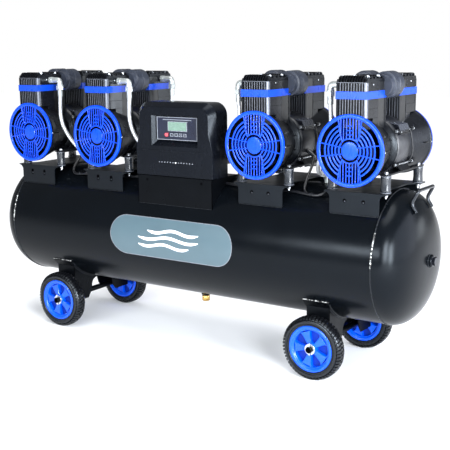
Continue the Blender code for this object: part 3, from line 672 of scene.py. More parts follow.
def add_plate_field(shape, inset, lift, columns=60, rows=14):
    """The blue face inside the border, as a grid that narrows at the round ends."""
    radius = NAMEPLATE_HALF - inset
    x_low, x_high = NAMEPLATE_X
    grid = []
    for i in range(columns + 1):
        u = -1 + 2 * i / columns
        u = sin(u * pi / 2) * 0.5 + u * 0.5 if abs(u) > 0.5 else u
        x = (x_low + x_high) / 2 + u * ((x_high - x_low) / 2 - inset)
        over = max(0.0, x_low + NAMEPLATE_HALF - x, x - x_high + NAMEPLATE_HALF)
        reach = sqrt(max(0.0, radius**2 - over**2))
        column = [on_plate(x, reach * (-1 + 2 * j / rows), lift) for j in range(rows + 1)]
        grid.append([shape.bm.verts.new(point) for point in column])
    for left, right in zip(grid, grid[1:]):
        for j in range(rows):
            shape.face((left[j], right[j], right[j + 1], left[j + 1]))


def make_nameplate():
    """A thin curved plate with a light rim and three plain flow lines."""
    shape = Shape(PLATE_BLUE, SILVER, WHITE)
    add_plate_rim(shape.use(SILVER))
    add_plate_field(shape.use(PLATE_BLUE), 0.001, 0.00115)
    shape.use(WHITE)
    steps, swing, half = 40, 0.0055, 0.0048
    for s, x0, x1 in ((-0.024, -0.09, 0.118), (0.0, -0.128, 0.118), (0.024, -0.128, 0.08)):
        wave = []
        for i in range(steps + 1):
            t = i / steps
            reach = half * min(1, 8 * min(i, steps - i) / steps + 0.25)
            wave.append((x0 + (x1 - x0) * t, s + swing * sin(t * tau * 1.5), reach))
        rows = [[on_plate(x, y + way * reach, 0.0015) for x, y, reach in wave] for way in (-1, 1)]
        shape.loft(rows, cap=False, closed=False)
    place("nameplate", shape.mesh("nameplate", 60), FRAME_BODY)


# ---- wheels and their frames --------------------------------------------------------
def make_axle_frame(side, end):
    """A curved pad, two arched plates, end webs and an axle bar, welded under the tank."""
    name = f"axle_frame_{end}"
    x, middle = side * WHEEL_X, (0, TANK_Z)
    pad_r, pad_wall, pad_half = TANK_R + 0.0006, 0.004, 0.0435
    leg_y, foot_z, plate = 0.15, 0.086, 0.039
    # Painted shade: the frames use the darker sheet paint because they sit in the tank's shadow.
    shape = Shape(DARK_SHEET_AND_SHADE, WELD, BARE_WELD_AND_HIGHLIGHT)
    outer = arc(middle, pad_r + pad_wall, -142.5, -37.5, 40)
    inner = arc(middle, pad_r, -37.5, -142.5, 40)
    shape.prism([*outer, *inner], "X", (x - pad_half, x + pad_half))
    under = arc(middle, pad_r + pad_wall / 2, -135.2, -98.0, 14)
    arch = arc((-0.03, 0.13), 0.026, 90, 180, 10)
    leg = [*under, *arch, (-0.064, 0.104), (-0.078, foot_z), (-leg_y, foot_z)]
    for mirror in (1, -1):
        outline = [(mirror * y, z) for y, z in leg]
        for edge in (-1, 1):
            shape.prism(outline, "X", sorted((x + edge * plate, x + edge * (plate - 0.004))))
        web_y = span(mirror, -leg_y, 0.004 - leg_y)
        shape.box((x - plate, x + plate), web_y, (foot_z + 0.0005, 0.2245))
    shape.rod("Y", (x, WHEEL_Z), (-0.211, 0.211), AXLE_R, 32, 0.0012)
    for mirror in (1, -1):
        a = radians(-90 - mirror * 52.6)
        y, z = pad_r * cos(a) * 1.004, TANK_Z + pad_r * sin(a) * 1.004
        short_run = [(x - pad_half, y, z), (x + pad_half, y, z)]
        shape.use(BARE_WELD_AND_HIGHLIGHT).bead(short_run, 0.0017, 0.0034, mirror)
        shape.use(WELD)
        for edge in (-1, 1):
            turns = [radians(-90 - mirror * (12 + 3.2 * i)) for i in range(13)]
            long_run = [(x + edge * 0.0445, pad_r * cos(t), TANK_Z + pad_r * sin(t)) for t in turns]
            shape.bead(long_run, 0.0015, 0.004, edge)
            reaches = [0.148 - 0.009 * i for i in range(12)]
            foot = [(x + edge * 0.0398, -mirror * y, TANK_Z - sqrt((pad_r + pad_wall) ** 2 - y * y))
                    for y in reaches]
            shape.bead(foot, 0.0014, 0.003, edge + mirror)
    place(f"{name}_weldment", shape.mesh(name, 40), FRAME_BODY, [name], 0.0006)
    for way, face in ((-1, "front"), (1, "rear")):
        make_axle_end(x, way, f"axle_washer_{face}_{end}")


def make_axle_end(x, way, name):
    """The washer and split pin that hold a wheel on its axle."""
    trim = Shape(STEEL, HOLE_SHADOW)
    face = WHEEL_HALF + WHEEL_Y - 0.0018
    washer = ((0.0104, 0.0), (0.017, 0.0), (0.0172, 0.0004), (0.0172, 0.002), (0.0168, 0.0024),
              (0.0104, 0.0024))
    trim.lathe([(r, way * (face + h)) for r, h in washer], "Y", (x, 0, WHEEL_Z), 40, closed=True)
    pin_y = way * (face + 0.006)
    for shift, drop in ((0.0016, 0.0175), (-0.0012, 0.0165)):
        trim.rod("Z", (x + shift, pin_y), (WHEEL_Z - drop, WHEEL_Z + 0.0145), 0.0013, 10)
    turns = [radians(-60 + 30 * i) for i in range(11)]
    eye = [(x + 0.0032 * cos(a), pin_y, WHEEL_Z + 0.0165 + 0.0032 * sin(a)) for a in turns]
    trim.tube(eye, 0.0012, 8)
    cup = ((0.0078, 0.2106), (0.0078, 0.2113), (0.0, 0.2113))
    # Painted shadow: a near-black disc on the axle's end face.
    trim.use(HOLE_SHADOW).lathe([(r, way * h) for r, h in cup], "Y", (x, 0, WHEEL_Z), 28)
    place(name, trim.mesh("washer"), FRAME_BODY)


def shoulder_block(row):
    """A tread block that wraps over one shoulder, as two rings of points."""
    hook = 0.0026 * row
    low, high = [], []
    for r, sunk, t in ((0.0905, 0.0034, 0.0), (0.0918, 0.0018, 0.05), (0.0945, 0.0028, 0.3),
                       (0.0974, 0.0054, 0.55), (0.0992, 0.0092, 0.9), (0.0999, 0.015, 1.0)):
        half = 0.0036 - 0.0004 * t
        low.append((hook * t - half, row * (WHEEL_HALF - sunk), r))
        high.append((hook * t + half, row * (WHEEL_HALF - sunk), r))
    low.append((hook - 0.0032, row * (WHEEL_HALF - 0.015), 0.094))
    high.append((hook + 0.0032, row * (WHEEL_HALF - 0.015), 0.094))
    return [low, high]


def middle_block(zig):
    """A tread block of the middle row, shifted sideways by zig."""
    corners = ((-0.0034, -0.005), (0.0034, -0.0062), (0.0034, 0.005), (-0.0034, 0.0062))
    base = [(x, y + zig, 0.094) for x, y in corners]
    return [base, [(x * 0.9, y * 0.94, 0.0999) for x, y, _ in base]]


def make_tyre_mesh():
    """A cushion tyre with ringed side walls and staggered rows of tread blocks."""
    shape = Shape(RUBBER)
    rings = ((0.0, 0.0045), (0.0005, 0.0014), (0.0022, 0.0001), (0.0042, 0.0004), (0.005, 0.0026),
             (0.0066, 0.0028), (0.0074, 0.0008), (0.0126, -0.0001), (0.015, 0.001), (0.0156, 0.0036),
             (0.0176, 0.0056), (0.02, 0.0096), (0.0216, 0.014))
    side = [(RIM_R + out, WHEEL_HALF - sunk) for out, sunk in rings]
    profile = [*side, (RIM_R + 0.0222, 0.0), *[(r, -y) for r, y in reversed(side)]]
    shape.lathe(profile, "Y", ORIGIN, 96, closed=True)
    for i in range(TREADS):
        for row in (-1, 0, 1):
            step = i if row else i + 0.5
            with shape.moved(Matrix.Rotation(tau * step / TREADS, 4, "Y")):
                shape.loft(shoulder_block(row) if row else middle_block(0.0018 if i % 2 else -0.0018))
    return shape.mesh("tyre", 34)


def make_hub_mesh():
    """A moulded hub: rim ring, recessed web in a darker blue of painted shade, five raised spokes and a
    centre boss.
    """
    shape = Shape(HUB_BLUE, HUB_PAINTED_SHADE)
    h, rim = WHEEL_HALF, RIM_R - 0.0003
    steps = ((0.0158, 0.0098), (0.0152, 0.0066), (0.0138, 0.0052), (0.012, 0.0048), (0.0106, 0.0026),
             (0.0076, 0.0008), (0.003, 0.0004), (0.0006, 0.0016), (0.0, 0.005))
    ring = [(rim - inward, h - sunk) for inward, sunk in steps]
    shape.lathe(both_faces(ring), "Y", ORIGIN, 96, closed=True)
    boss = [(AXLE_R + 0.0006, h - 0.003), (0.0168, h - 0.003), (0.018, h - 0.0042), (0.0196, h - 0.0086)]
    shape.lathe(both_faces(boss), "Y", ORIGIN, 64, closed=True)
    web = [(0.015, 0.003), (rim - 0.01, 0.003)]
    # Painted shade: the recessed web is a darker blue than the rest of the hub.
    shape.use(HUB_PAINTED_SHADE).lathe(both_faces(web), "Y", ORIGIN, 64, closed=True)
    shape.use(HUB_BLUE)
    edge = ((0.016, 27.0), (0.023, 20.0), (0.034, 17.2), (0.046, 16.4), (0.053, 17.2), (rim - 0.0146, 21.5))
    for face in (-1, 1):
        for i in range(5):
            rings = []
            for level, inset in ((0.0, 0.0), (h - 0.0092, 0.0), (h - 0.0066, 0.0016)):
                left = [(-r * sin(radians(s)) + inset, r * cos(radians(s))) for r, s in edge]
                rings.append([(u, face * level, v) for u, v in mirrored(left)])
            with shape.moved(Matrix.Rotation(radians(72 * i - 21), 4, "Y")):
                shape.loft(rings)
    return shape.mesh("hub", 30)


# ---- pumps; each mesh has its pump's middle at x 0 ----------------------------------
def make_bracket_mesh(slots):
    """A folded saddle plate with flared corners, drilled or slotted flanges and four buffers; the holes and
    slots are painted-shadow discs.
    """
    shape = Shape(SHEET, BUFFER, STEEL, WELD, HOLE_SHADOW, GREY_METAL_AND_HIGHLIGHT)
    waist, tip, corner_y, edge_y, face_y = 0.066, 0.0975, 0.076, 0.1515, 0.1512
    corner = arc((tip, corner_y), tip - waist, 180, 90, 10)
    quarter = [(waist, 0.0), *corner, (tip, edge_y)]
    half = [*[(u, -v) for u, v in reversed(quarter[1:])], *quarter]
    shape.prism(mirrored(half), "Z", PLATE_Z)
    fillet = arc((tip, 0.563), 0.018, 180, 100, 8)
    flange = mirrored([(0.0795, 0.5186), *fillet, (tip, PLATE_Z[1] - 0.0002)])
    for side in (-1, 1):
        shape.use(SHEET).prism(flange, "Y", span(side, 0.152, 0.148))
        foot = [(-0.078, side * 0.1505, 0.5165), (0.078, side * 0.1505, 0.5165)]
        shape.use(WELD).bead(foot, 0.0013, 0.005, side)
        for u in (-0.03, 0.03):
            # Painted shadow: the holes and slots are near-black rods and boxes, not cut through the flange.
            shape.use(HOLE_SHADOW)
            depth = span(side, face_y, 0.1523)
            for z in (0.5625, 0.5545) if slots else (0.557,):
                shape.rod("Y", (u, z), depth, 0.006, 20)
            if slots:
                shape.box((u - 0.0044, u + 0.0044), depth, (0.5545, 0.5625))
            shape.use(GREY_METAL_AND_HIGHLIGHT).rod("Y", (u + 0.0008, 0.5552), span(side, face_y, 0.1527), 0.0017, 12)
    profile = ((0.0148, 0.5862), (0.0155, 0.588), (0.0152, 0.594), (0.0143, 0.606), (0.0143, 0.616),
               (0.0152, 0.627), (0.0155, 0.6305), (0.0148, 0.632))
    for u in (-BUFFER_X, BUFFER_X):
        for v in (-BUFFER_Y, BUFFER_Y):
            shape.use(BUFFER).lathe(profile, "Z", (u, v, 0), 32)
            shape.use(GREY_METAL_AND_HIGHLIGHT)
            for low, high in ((0.5841, 0.5866), (0.6316, 0.6341)):
                shape.rod("Z", (u, v), (low, high), 0.0157, 32, 0.0005)
            shape.use(STEEL).rod("Z", (u, v), (0.5715, 0.5799), 0.0062, 6, 0.0006)
            shape.rod("Z", (u, v), (0.5668, 0.572), 0.0034, 12, 0.0005)
    return shape.mesh("pump_bracket", 40)


def add_crankcase(shape, side):
    """An end bell and the crankcase behind it, with ten cooling ribs."""
    bell = ((0.0845, 0.038), (0.0852, 0.044), (0.08, 0.05), (0.064, 0.056), (0.06, 0.08),
            (0.059, 0.137), (0.012, 0.138))
    shape.lathe([(r, -side * y) for r, y in bell], "Y", (0, 0, PUMP_Z), 64)
    for i in range(10):
        with shape.moved(about_shaft(tau * i / 10)):
            shape.box((-0.0016, 0.0016), span(side, 0.046, 0.078), (0.055, 0.0745))


def add_feet(shape):
    """The H-shaped foot plate, its two struts and the screws into the buffers."""
    outer, inner, arm_y, waist_y = 0.097, 0.073, 0.136, 0.04
    arms = mirrored([(outer, -arm_y), (outer, arm_y), (inner, arm_y), (inner, waist_y)])
    notch = mirrored([(-inner, -arm_y), (-inner, -waist_y)])
    shape.use(CAST).prism([*arms, *notch], "Z", (0.6345, 0.6395))
    strut = ((0.0945, 0.638), (0.0905, 0.638), (0.066, 0.668), (0.07, 0.672))
    for side in (-1, 1):
        shape.use(CAST).prism([(side * u, z) for u, z in strut], "Y", (-0.036, 0.036))
        for y in (-BUFFER_Y, BUFFER_Y):
            shape.use(STEEL).screw((side * BUFFER_X, y, 0.6395), "+Z", 0.0062, 0.0062, hexagon=True)


def add_tie_bolts(shape):
    """Four long bolts through lugs on the stator's outside."""
    reach = 0.0955
    for a in (30, 150, 212, 328):
        at = (reach * cos(radians(a)), PUMP_Z + reach * sin(radians(a)))
        shape.use(CAST)
        for y in (-0.04, 0.06):
            shape.rod("Y", at, (y - 0.006, y + 0.006), 0.0068, 20, 0.001)
        shape.use(STEEL).rod("Y", at, (-0.05, 0.079), 0.0027, 14)
        for y in (-0.0475, 0.0745):
            shape.rod("Y", at, (y - 0.0024, y + 0.0024), 0.0052, 6, 0.0005)


def add_terminal_box(shape):
    """The box on the motor's shoulder, its lid and base, and the lead that leaves it."""
    body = ((0.047, 0.745), (0.087, 0.745), (0.088, 0.756), (0.081, 0.772), (0.056, 0.7775), (0.047, 0.777))
    lid = ((0.0886, 0.7562), (0.0892, 0.757), (0.082, 0.7737), (0.056, 0.779), (0.0556, 0.7776),
           (0.0808, 0.7722))
    base = ((0.0465, 0.744), (0.0905, 0.744), (0.0905, 0.748), (0.0465, 0.748))
    # Painted highlight: the lid on the box's sloped top is satin grey, lighter than the black body.
    for material, outline, half in ((GLOSS, body, 0.034), (SATIN_LID_HIGHLIGHT, lid, 0.033), (CAST, base, 0.036)):
        shape.use(material).prism(outline, "Y", (-half, half))
    shape.use(STEEL)
    for y in (-0.028, 0.028):
        shape.screw((0.069, y, 0.7762), "+Z", 0.0026, 0.0012)
    shape.screw((0.0893, -0.026, 0.752), "+X", 0.0024, 0.0012)
    lead = [(0.07, 0.034, 0.768)]
    for i in range(15):
        a, r = radians(46 - 118 * i / 14), 0.0935 + 0.002 * sin(i)
        lead.append((r * cos(a), 0.0475 + 0.006 * sin(i / 14 * pi), PUMP_Z + r * sin(a)))
    shape.use(CABLE).tube(curve_through(lead, 3), 0.0024, 8)


def make_motor_mesh():
    """Stator, crankcases, feet, tie bolts and the terminal box."""
    shape = Shape(STATOR, CAST, STEEL, GLOSS, CABLE, SATIN_LID_HIGHLIGHT)
    stator = [(0.06, 0.0425), (0.086, 0.0425), (0.0896, 0.039), (0.09, 0.038)]
    shape.lathe(both_faces(stator), "Y", (0, 0, PUMP_Z), 96)
    shape.use(CAST)
    for side in (-1, 1):
        add_crankcase(shape, side)
    add_feet(shape)
    add_tie_bolts(shape)
    add_terminal_box(shape)
    return shape.mesh("motor", 34)


def add_fins(shape, fins):
    """The dark core, with a fin at each place in front, over the top and behind, and painted-highlight
    strips on the fin tips.
    """
    core = ((-0.1755, 0.799), (-0.135, 0.7985), (-0.135, CORE_Z), (-0.0535, CORE_Z), (-0.0535, BLOCK_Z[1]),
            (-0.1755, BLOCK_Z[1]))
    shape.use(DARK).prism(core, "X", (-0.044, 0.044))
    over = ((-0.178, 0.8975), (-0.1775, 0.905), (-0.1735, 0.912), (-0.166, 0.9178), (-0.138, 0.9186),
            (-0.13, 0.915), (-0.084, 0.915), (-0.076, 0.9186), (-0.06, 0.918), (-0.0545, 0.91),
            (-0.054, 0.8975))
    for x in fins:
        shape.use(CAST).box((x - 0.0015, x + 0.0015), (-0.1808, -0.1745), (0.7988, 0.8985))
        shape.box((x - 0.0015, x + 0.0015), (-0.0545, -0.0484), (0.7668, 0.8985))
        shape.prism(over, "X", (x * 0.97 - 0.0013, x * 0.97 + 0.0013))
        # Painted highlight: light grey strips along the fin tips, front and rear.
        shape.use(GREY_METAL_AND_HIGHLIGHT)
        for low, high in ((0.8, 0.8524), (0.8752, 0.8978)):
            shape.box((x - 0.0008, x + 0.0008), (-0.1812, -0.1806), (low, high))
        shape.box((x - 0.0007, x + 0.0007), (-0.0485, -0.0481), (0.77, 0.8524))
    bed = ((-0.172, 0.8975), (-0.166, 0.9105), (-0.062, 0.9105), (-0.056, 0.8975))
    shape.use(DARK).prism(bed, "X", (-0.0415, 0.0415))


def add_block_side(shape, side):
    """One side of the cylinder block: corner post, wall plates, lid edge and screws; on the +X side the
    post is light grey as a painted highlight.
    """
    post = [(side * u, y) for u, y in ((0.0402, -0.1812), (0.0448, -0.1812), (BLOCK_X, -0.1785),
                                       (BLOCK_X, -0.169), (0.0402, -0.169))]
    # Painted highlight: the corner post is light grey on the +X side and dark on the other.
    shape.use(GREY_METAL_AND_HIGHLIGHT if side > 0 else CAST)
    for low, high in ((BLOCK_Z[0], 0.8524), (0.8752, BLOCK_Z[1])):
        shape.prism(post, "Z", (low, high))
    top = BLOCK_Z[1]
    front, rear = (-0.1692, -0.101), (-0.1, -0.0555)
    for material, inner, sunk, y, z in (
        (CAST, 0.0432, 0.0, (-0.056, -0.0481), (CORE_Z, top)),
        (GLOSS, 0.043, 0.0001, front, (BLOCK_Z[0], 0.825)),
        (GLOSS, 0.043, 0.0005, front, (0.8258, top)),
        (DARK, 0.043, 0.0014, rear, (CORE_Z, top)),
        (GLOSS, 0.043, 0.0006, (-0.135, -0.101), (CORE_Z, 0.7984)),
    ):
        shape.use(material).box(span(side, inner, BLOCK_X - sunk), y, z)
    lid = ((-0.1772, top), (-0.1772, 0.9035), (-0.174, 0.9085), (-0.057, 0.9085), (-0.0545, 0.9035),
           (-0.0545, top))
    shape.use(CAST).prism(lid, "X", span(side, 0.0416, BLOCK_X - 0.0006))
    for y in (-0.164, -0.142, -0.118, -0.094, -0.07):
        shape.box(span(side, 0.0395, BLOCK_X - 0.0018), (y - 0.0028, y + 0.0028), (0.9075, 0.915))
    shape.use(STEEL)
    for y in (-0.153, -0.082):
        shape.screw((side * 0.0372, y, 0.913), "+Z", 0.0046, 0.0056, hexagon=True)
    shape.screw((side * (BLOCK_X - 0.0002), -0.136, 0.893), "+X" if side > 0 else "-X", 0.0026, 0.0012)


def add_band(shape, fins):
    """The blue band round the block, ribbed where it crosses the front fins."""
    low, high, wall = 0.853, 0.8745, 0.0012
    wide, front, rear = BLOCK_X + 0.0008, -0.1821, -0.047
    shape.use(BAND)
    for face in ((front, front + wall), (rear - wall, rear)):
        shape.box((-wide, wide), face, (low, high))
    for side in (-1, 1):
        shape.box(span(side, wide, wide - wall), (front + 0.0002, rear - 0.0002), (low, high))
    for x in fins:
        shape.box((x - 0.0015, x + 0.0015), (front - 0.0004, front + 0.001), (low + 0.0006, high - 0.0006))


def add_silencer(shape):
    """The round ribbed intake silencer behind the block."""
    r, y = 0.0395, -0.047
    drum = [(0.0, -0.06), (0.03, -0.06), (0.033, -0.048)]
    for _ in range(6):
        drum += [(r - 0.0036, y), (r - 0.0006, y + 0.0006), (r - 0.0003, y + 0.003),
                 (r - 0.0036, y + 0.0038)]
        y += 0.0046
    end = ((0.0, 0.008), (0.0006, 0.011), (0.0036, 0.0142), (0.006, 0.015), (0.01, 0.0146),
           (0.0115, 0.0128))
    drum += [(r - 0.002, y), (r, y + 0.0012), *[(r - inward, level) for inward, level in end],
             (0.0, 0.0128)]
    shape.use(INTAKE).lathe(drum, "Y", (SILENCER_X, 0, SILENCER_Z), 72)
    shape.use(DARK)
    for i in range(3):
        a = radians(30 + 120 * i)
        u, v = SILENCER_X + 0.026 * cos(a), SILENCER_Z + 0.026 * sin(a)
        shape.box((u - 0.003, u + 0.003), (0.012, 0.0142), (v - 0.003, v + 0.003))
    middle = Matrix.Translation((SILENCER_X, 0, SILENCER_Z))
    with shape.moved(middle @ Matrix.Rotation(radians(28), 4, "Y")):
        shape.rod("X", (-0.008, 0.0), (r - 0.002, r + 0.0006), 0.0042, 20)


def make_head_mesh():
    """Finned cylinder block, cap, coloured band and intake silencer, outer side at -Y."""
    shape = Shape(CAST, GLOSS, BAND, STEEL, INTAKE, DARK, GREY_METAL_AND_HIGHLIGHT)
    fins = [-0.0425 + 0.0086 * i for i in range(10)]
    add_fins(shape, fins)
    for side in (-1, 1):
        add_block_side(shape, side)
    # Painted highlight: a light grey strip along the block's top front edge.
    shape.use(GREY_METAL_AND_HIGHLIGHT).box((-0.0455, 0.0455), (-0.179, -0.1772), (0.8982, 0.8998))
    add_band(shape, fins)
    add_silencer(shape)
    return shape.mesh("head", 34)


def make_duct_mesh():
    """The black duct between the crankcase and the fan cover's blue face."""
    shape = Shape(CAST, STEEL)
    wall = ((0.066, 0.056), (0.07, 0.0552), (0.0705, 0.06), (0.0722, 0.064), (0.085, 0.108),
            (0.1, 0.161), (0.1016, 0.1668), (0.103, 0.169), (0.1046, 0.1702), (0.105, 0.1716),
            (0.105, 0.179), (0.102, 0.1794), (0.1016, 0.172), (0.0985, 0.166), (0.083, 0.109),
            (0.069, 0.06))
    shape.lathe([(r, -y) for r, y in wall], "Y", (0, 0, PUMP_Z), 96, closed=True)
    for a in (0, 180, 90):
        with shape.moved(about_shaft(radians(a))):
            shape.use(STEEL).screw((COVER_R, -0.175, 0.0), "+X", 0.0024, 0.0013)
            shape.use(CAST).box((0.085, 0.103), (-0.17, -0.135), (-0.0012, 0.0012))
    return shape.mesh("duct", 34)


def bar(shape, start, end, width, y):
    """A straight grille bar between two points in (x, z)."""
    run = Vector((end[0] - start[0], end[1] - start[1]))
    side = Vector((-run.y, run.x)).normalized() * width / 2
    crown = side * 0.45
    rings = []
    for u, v in (start, end):
        rings.append([(u + side.x, y[1], v + side.y), (u + side.x, y[0] + 0.0007, v + side.y),
                      (u + crown.x, y[0], v + crown.y), (u - crown.x, y[0], v - crown.y),
                      (u - side.x, y[0] + 0.0007, v - side.y), (u - side.x, y[1], v - side.y)])
    shape.loft(rings)


def arc_bar(shape, radius, width, start, end, y, step=4.0):
    """A curved grille bar about the centre, between two angles in degrees."""
    parts = max(2, int(abs(end - start) / step))
    section = ((0.5, y[1]), (0.5, y[0] + 0.0007), (0.22, y[0]), (-0.22, y[0]), (-0.5, y[0] + 0.0007),
               (-0.5, y[1]))
    rings = []
    for i in range(parts + 1):
        a = radians(start + (end - start) * i / parts)
        radii = [(radius + across * width, level) for across, level in section]
        rings.append([(r * cos(a), level, r * sin(a)) for r, level in radii])
    shape.loft(rings)


def make_grille_mesh():
    """The blue fan cover: rim, hub disc, side arcs with paired spokes, slotted top and bottom."""
    shape = Shape(BLUE)
    steps = ((0.0002, -0.179), (0.0, -0.1845), (0.001, -0.1868), (0.0034, -0.1879), (0.0078, -0.1879),
             (0.01, -0.187), (0.0112, -0.1856), (0.0106, -0.1838), (0.005, -0.1796))
    shape.lathe([(COVER_R - inward, y) for inward, y in steps], "Y", ORIGIN, 120, closed=True)
    disc = ((0.0, -0.1822), (0.02, -0.1822), (0.0258, -0.1826), (0.0262, -0.1852), (0.025, -0.1868),
            (0.021, -0.1874), (0.0, -0.1877))
    shape.lathe(disc, "Y", ORIGIN, 64)
    face, raised = (-0.1868, -0.185), (-0.1876, -0.1848)
    for r in (0.034, 0.045, 0.056, 0.067, 0.0785):
        edge = 90 - degrees_of(0.0262 + 0.09 * (r - 0.034), r)
        for start in (-edge, 180 - edge):
            arc_bar(shape, r, 0.0048, start, start + 2 * edge, face)
    for sx in (-1, 1):
        for sz in (-1, 1):
            bar(shape, (sx * 0.0245, sz * 0.0095), (sx * 0.094, sz * 0.02), 0.003, raised)
    path = ((0.0225, 0.024), (0.0295, 0.045), (0.0365, 0.0875))
    for sz in (-1, 1):
        for sx in (-1, 1):
            for p, q in zip(path, path[1:]):
                bar(shape, (sx * p[0], sz * p[1]), (sx * q[0], sz * q[1]), 0.004, face)
        arc_bar(shape, 0.035, 0.004, sz * 90 - 40, sz * 90 + 40, face)
        bar(shape, (0.0, sz * 0.0345), (0.0, sz * 0.095), 0.0032, face)
        for level in (0.0465, 0.0585, 0.071):
            bar(shape, (-0.0102, sz * level), (0.0102, sz * level), 0.003, face)
        for x, low in ((0.0102, 0.032), (0.0196, 0.03), (0.0284, 0.043)):
            for sx in (-1, 1):
                bar(shape, (sx * x, sz * low), (sx * x, sz * sqrt(0.095**2 - x * x)), 0.0028, face)
    return shape.mesh("grille", 34)


def make_rotor_mesh():
    """Shaft with a four-bladed fan near each end; the blades are pitched, and narrow outward."""
    shape = Shape(MOULDED, STEEL)
    shape.use(STEEL).rod("Y", (0, 0), (-0.1775, 0.1775), 0.0079, 28, 0.001)
    hub = ((0.008, 0.1455), (0.0215, 0.1455), (0.022, 0.147), (0.022, 0.169), (0.0195, 0.1716),
           (0.008, 0.1718))
    root, tip, thick, pitch = 0.018, 0.0785, 0.0011, radians(38)
    for side in (-1, 1):
        shape.use(MOULDED).lathe([(r, -side * y) for r, y in hub], "Y", ORIGIN, 40, closed=True)
        middle = side * 0.1585
        rings = []
        for j in range(6):
            t = j / 5
            r, half = root + (tip - root) * t, 0.015 - 0.0012 * t
            u, v = half * cos(pitch), side * half * sin(pitch)
            rings.append([(-u, middle - v - thick, r), (u, middle + v - thick, r),
                          (u, middle + v + thick, r), (-u, middle - v + thick, r)])
        for i in range(4):
            with shape.moved(Matrix.Rotation(tau * (i + 0.5) / 4, 4, "Y")):
                shape.loft(rings)
        shape.use(STEEL).screw((0, side * 0.1775, 0), "+Y" if side > 0 else "-Y", 0.0052, 0.002)
    return shape.mesh("rotor", 34)


def make_pumps():
    """Places the shared meshes once per pump, or once per pump end; the first two brackets are slotted."""
    slotted, drilled = make_bracket_mesh(True), make_bracket_mesh(False)
    motor, head = make_motor_mesh(), make_head_mesh()
    duct, grille, rotor = make_duct_mesh(), make_grille_mesh(), make_rotor_mesh()
    for number, x in PUMPS:
        here, axle = Matrix.Translation((x, 0, 0)), Matrix.Translation((x, 0, PUMP_Z))
        place(f"saddle_{number}", slotted if number < 3 else drilled, FRAME_BODY,
              [f"pump_bracket_{number}"], 0.0013, here)
        place(f"stator_{number}", motor, FRAME_BODY, [f"motor_{number}"], 0.0005, here)
        place(f"fan_shaft_{number}", rotor, f"motor_shaft_{number}", [f"rotor_{number}"],
              0.0004, axle)
        for end, turn in (("front", 0.0), ("rear", pi)):
            spin = here @ Matrix.Rotation(turn, 4, "Z")
            face = spin @ Matrix.Translation((0, 0, PUMP_Z))
            tail = f"{end}_{number}"
            place(f"cylinder_{tail}", head, FRAME_BODY, [f"head_{tail}"], 0.0005, spin)
            place(f"duct_{tail}", duct, FRAME_BODY, (), 0.0, spin)
            place(f"grille_{tail}", grille, FRAME_BODY, [f"fan_cover_{tail}"], 0.0, face)


# ---- control box --------------------------------------------------------------------
def make_control_base():
    """A folded sheet skirt on the tank's shoulder, open below, with two holes in its front, drawn as
    near-black discs of painted shadow.
    """
    shape = Shape(DARK_SHEET_AND_SHADE, HOLE_SHADOW, WELD)
    front, back, top, half, wall = BOX_FRONT, -0.018, 0.5873, 0.15, 0.0022
    radius = TANK_R + 0.0012
    start, end = 90 + degrees_of(-front, radius), 90 + degrees_of(-back, radius)
    outline = [*arc((0, TANK_Z), radius, start, end, 24), (back, top), (front, top)]
    for side in (-1, 1):
        shape.prism(outline, "X", span(side, half, half - wall))
    low = TANK_Z + sqrt(radius**2 - front**2)
    shape.box((-half, half), (front, front + wall), (low, top))
    shape.box((-half, half), (front, back), (top - wall, top))
    shape.box((-half, half), (back - wall, back), (0.5815, top))
    # Painted shadow: near-black discs for the two holes.
    shape.use(HOLE_SHADOW)
    for x in (-0.111, 0.109):
        shape.rod("Y", (x, 0.5715), (front - 0.0001, front + 0.0004), 0.0044, 24)
    weld = [(-0.1485, front + 0.0005, low), (0.1485, front + 0.0005, low)]
    shape.use(WELD).bead(weld, 0.0011, 0.004)
    place("control_base_sheet", shape.mesh("control_base", 40), FRAME_BODY, ["control_base"],
          0.0009)


def cover_outline(side, top, radius):
    """The cover seen from the front, its sides and top drawn in from the full size."""
    half, crown = 0.156 - side, 0.828 - top
    run = [(half + side * (0.85 if z < 0.68 else 0.0), z) for z in (0.5878, 0.668, 0.676, 0.73)]
    return mirrored([*run, *arc((half - radius, crown - radius), radius, 0, 90, 10)])


def rect_points(outline, x, z):
    """Points on a rectangle, one for each point of an outline, met on a ray from its centre."""
    cx, cz = (x[0] + x[1]) / 2, (z[0] + z[1]) / 2
    half_x, half_z = (x[1] - x[0]) / 2, (z[1] - z[0]) / 2
    points = []
    for u, v in outline:
        du, dv = u - cx, v - cz
        scale = min(half_x / abs(du) if du else 9e9, half_z / abs(dv) if dv else 9e9)
        points.append((cx + du * scale, cz + dv * scale))
    for corner in ((x[0], z[0]), (x[1], z[0]), (x[1], z[1]), (x[0], z[1])):
        gaps = [hypot(u - corner[0], v - corner[1]) for u, v in points]
        points[gaps.index(min(gaps))] = corner
    return points


def add_ledge(shape):
    """A shallow ledge across the cover's front, below the display."""
    middle = 0.6705
    ledge = ((-0.0002, -0.0012), (-0.001, -0.0004), (-0.001, 0.0008), (-0.0002, 0.002), (0.001, 0.002),
             (0.001, -0.0012))
    shape.prism([(BOX_FRONT + y, middle + z) for y, z in ledge], "X", (-0.1365, 0.1365))


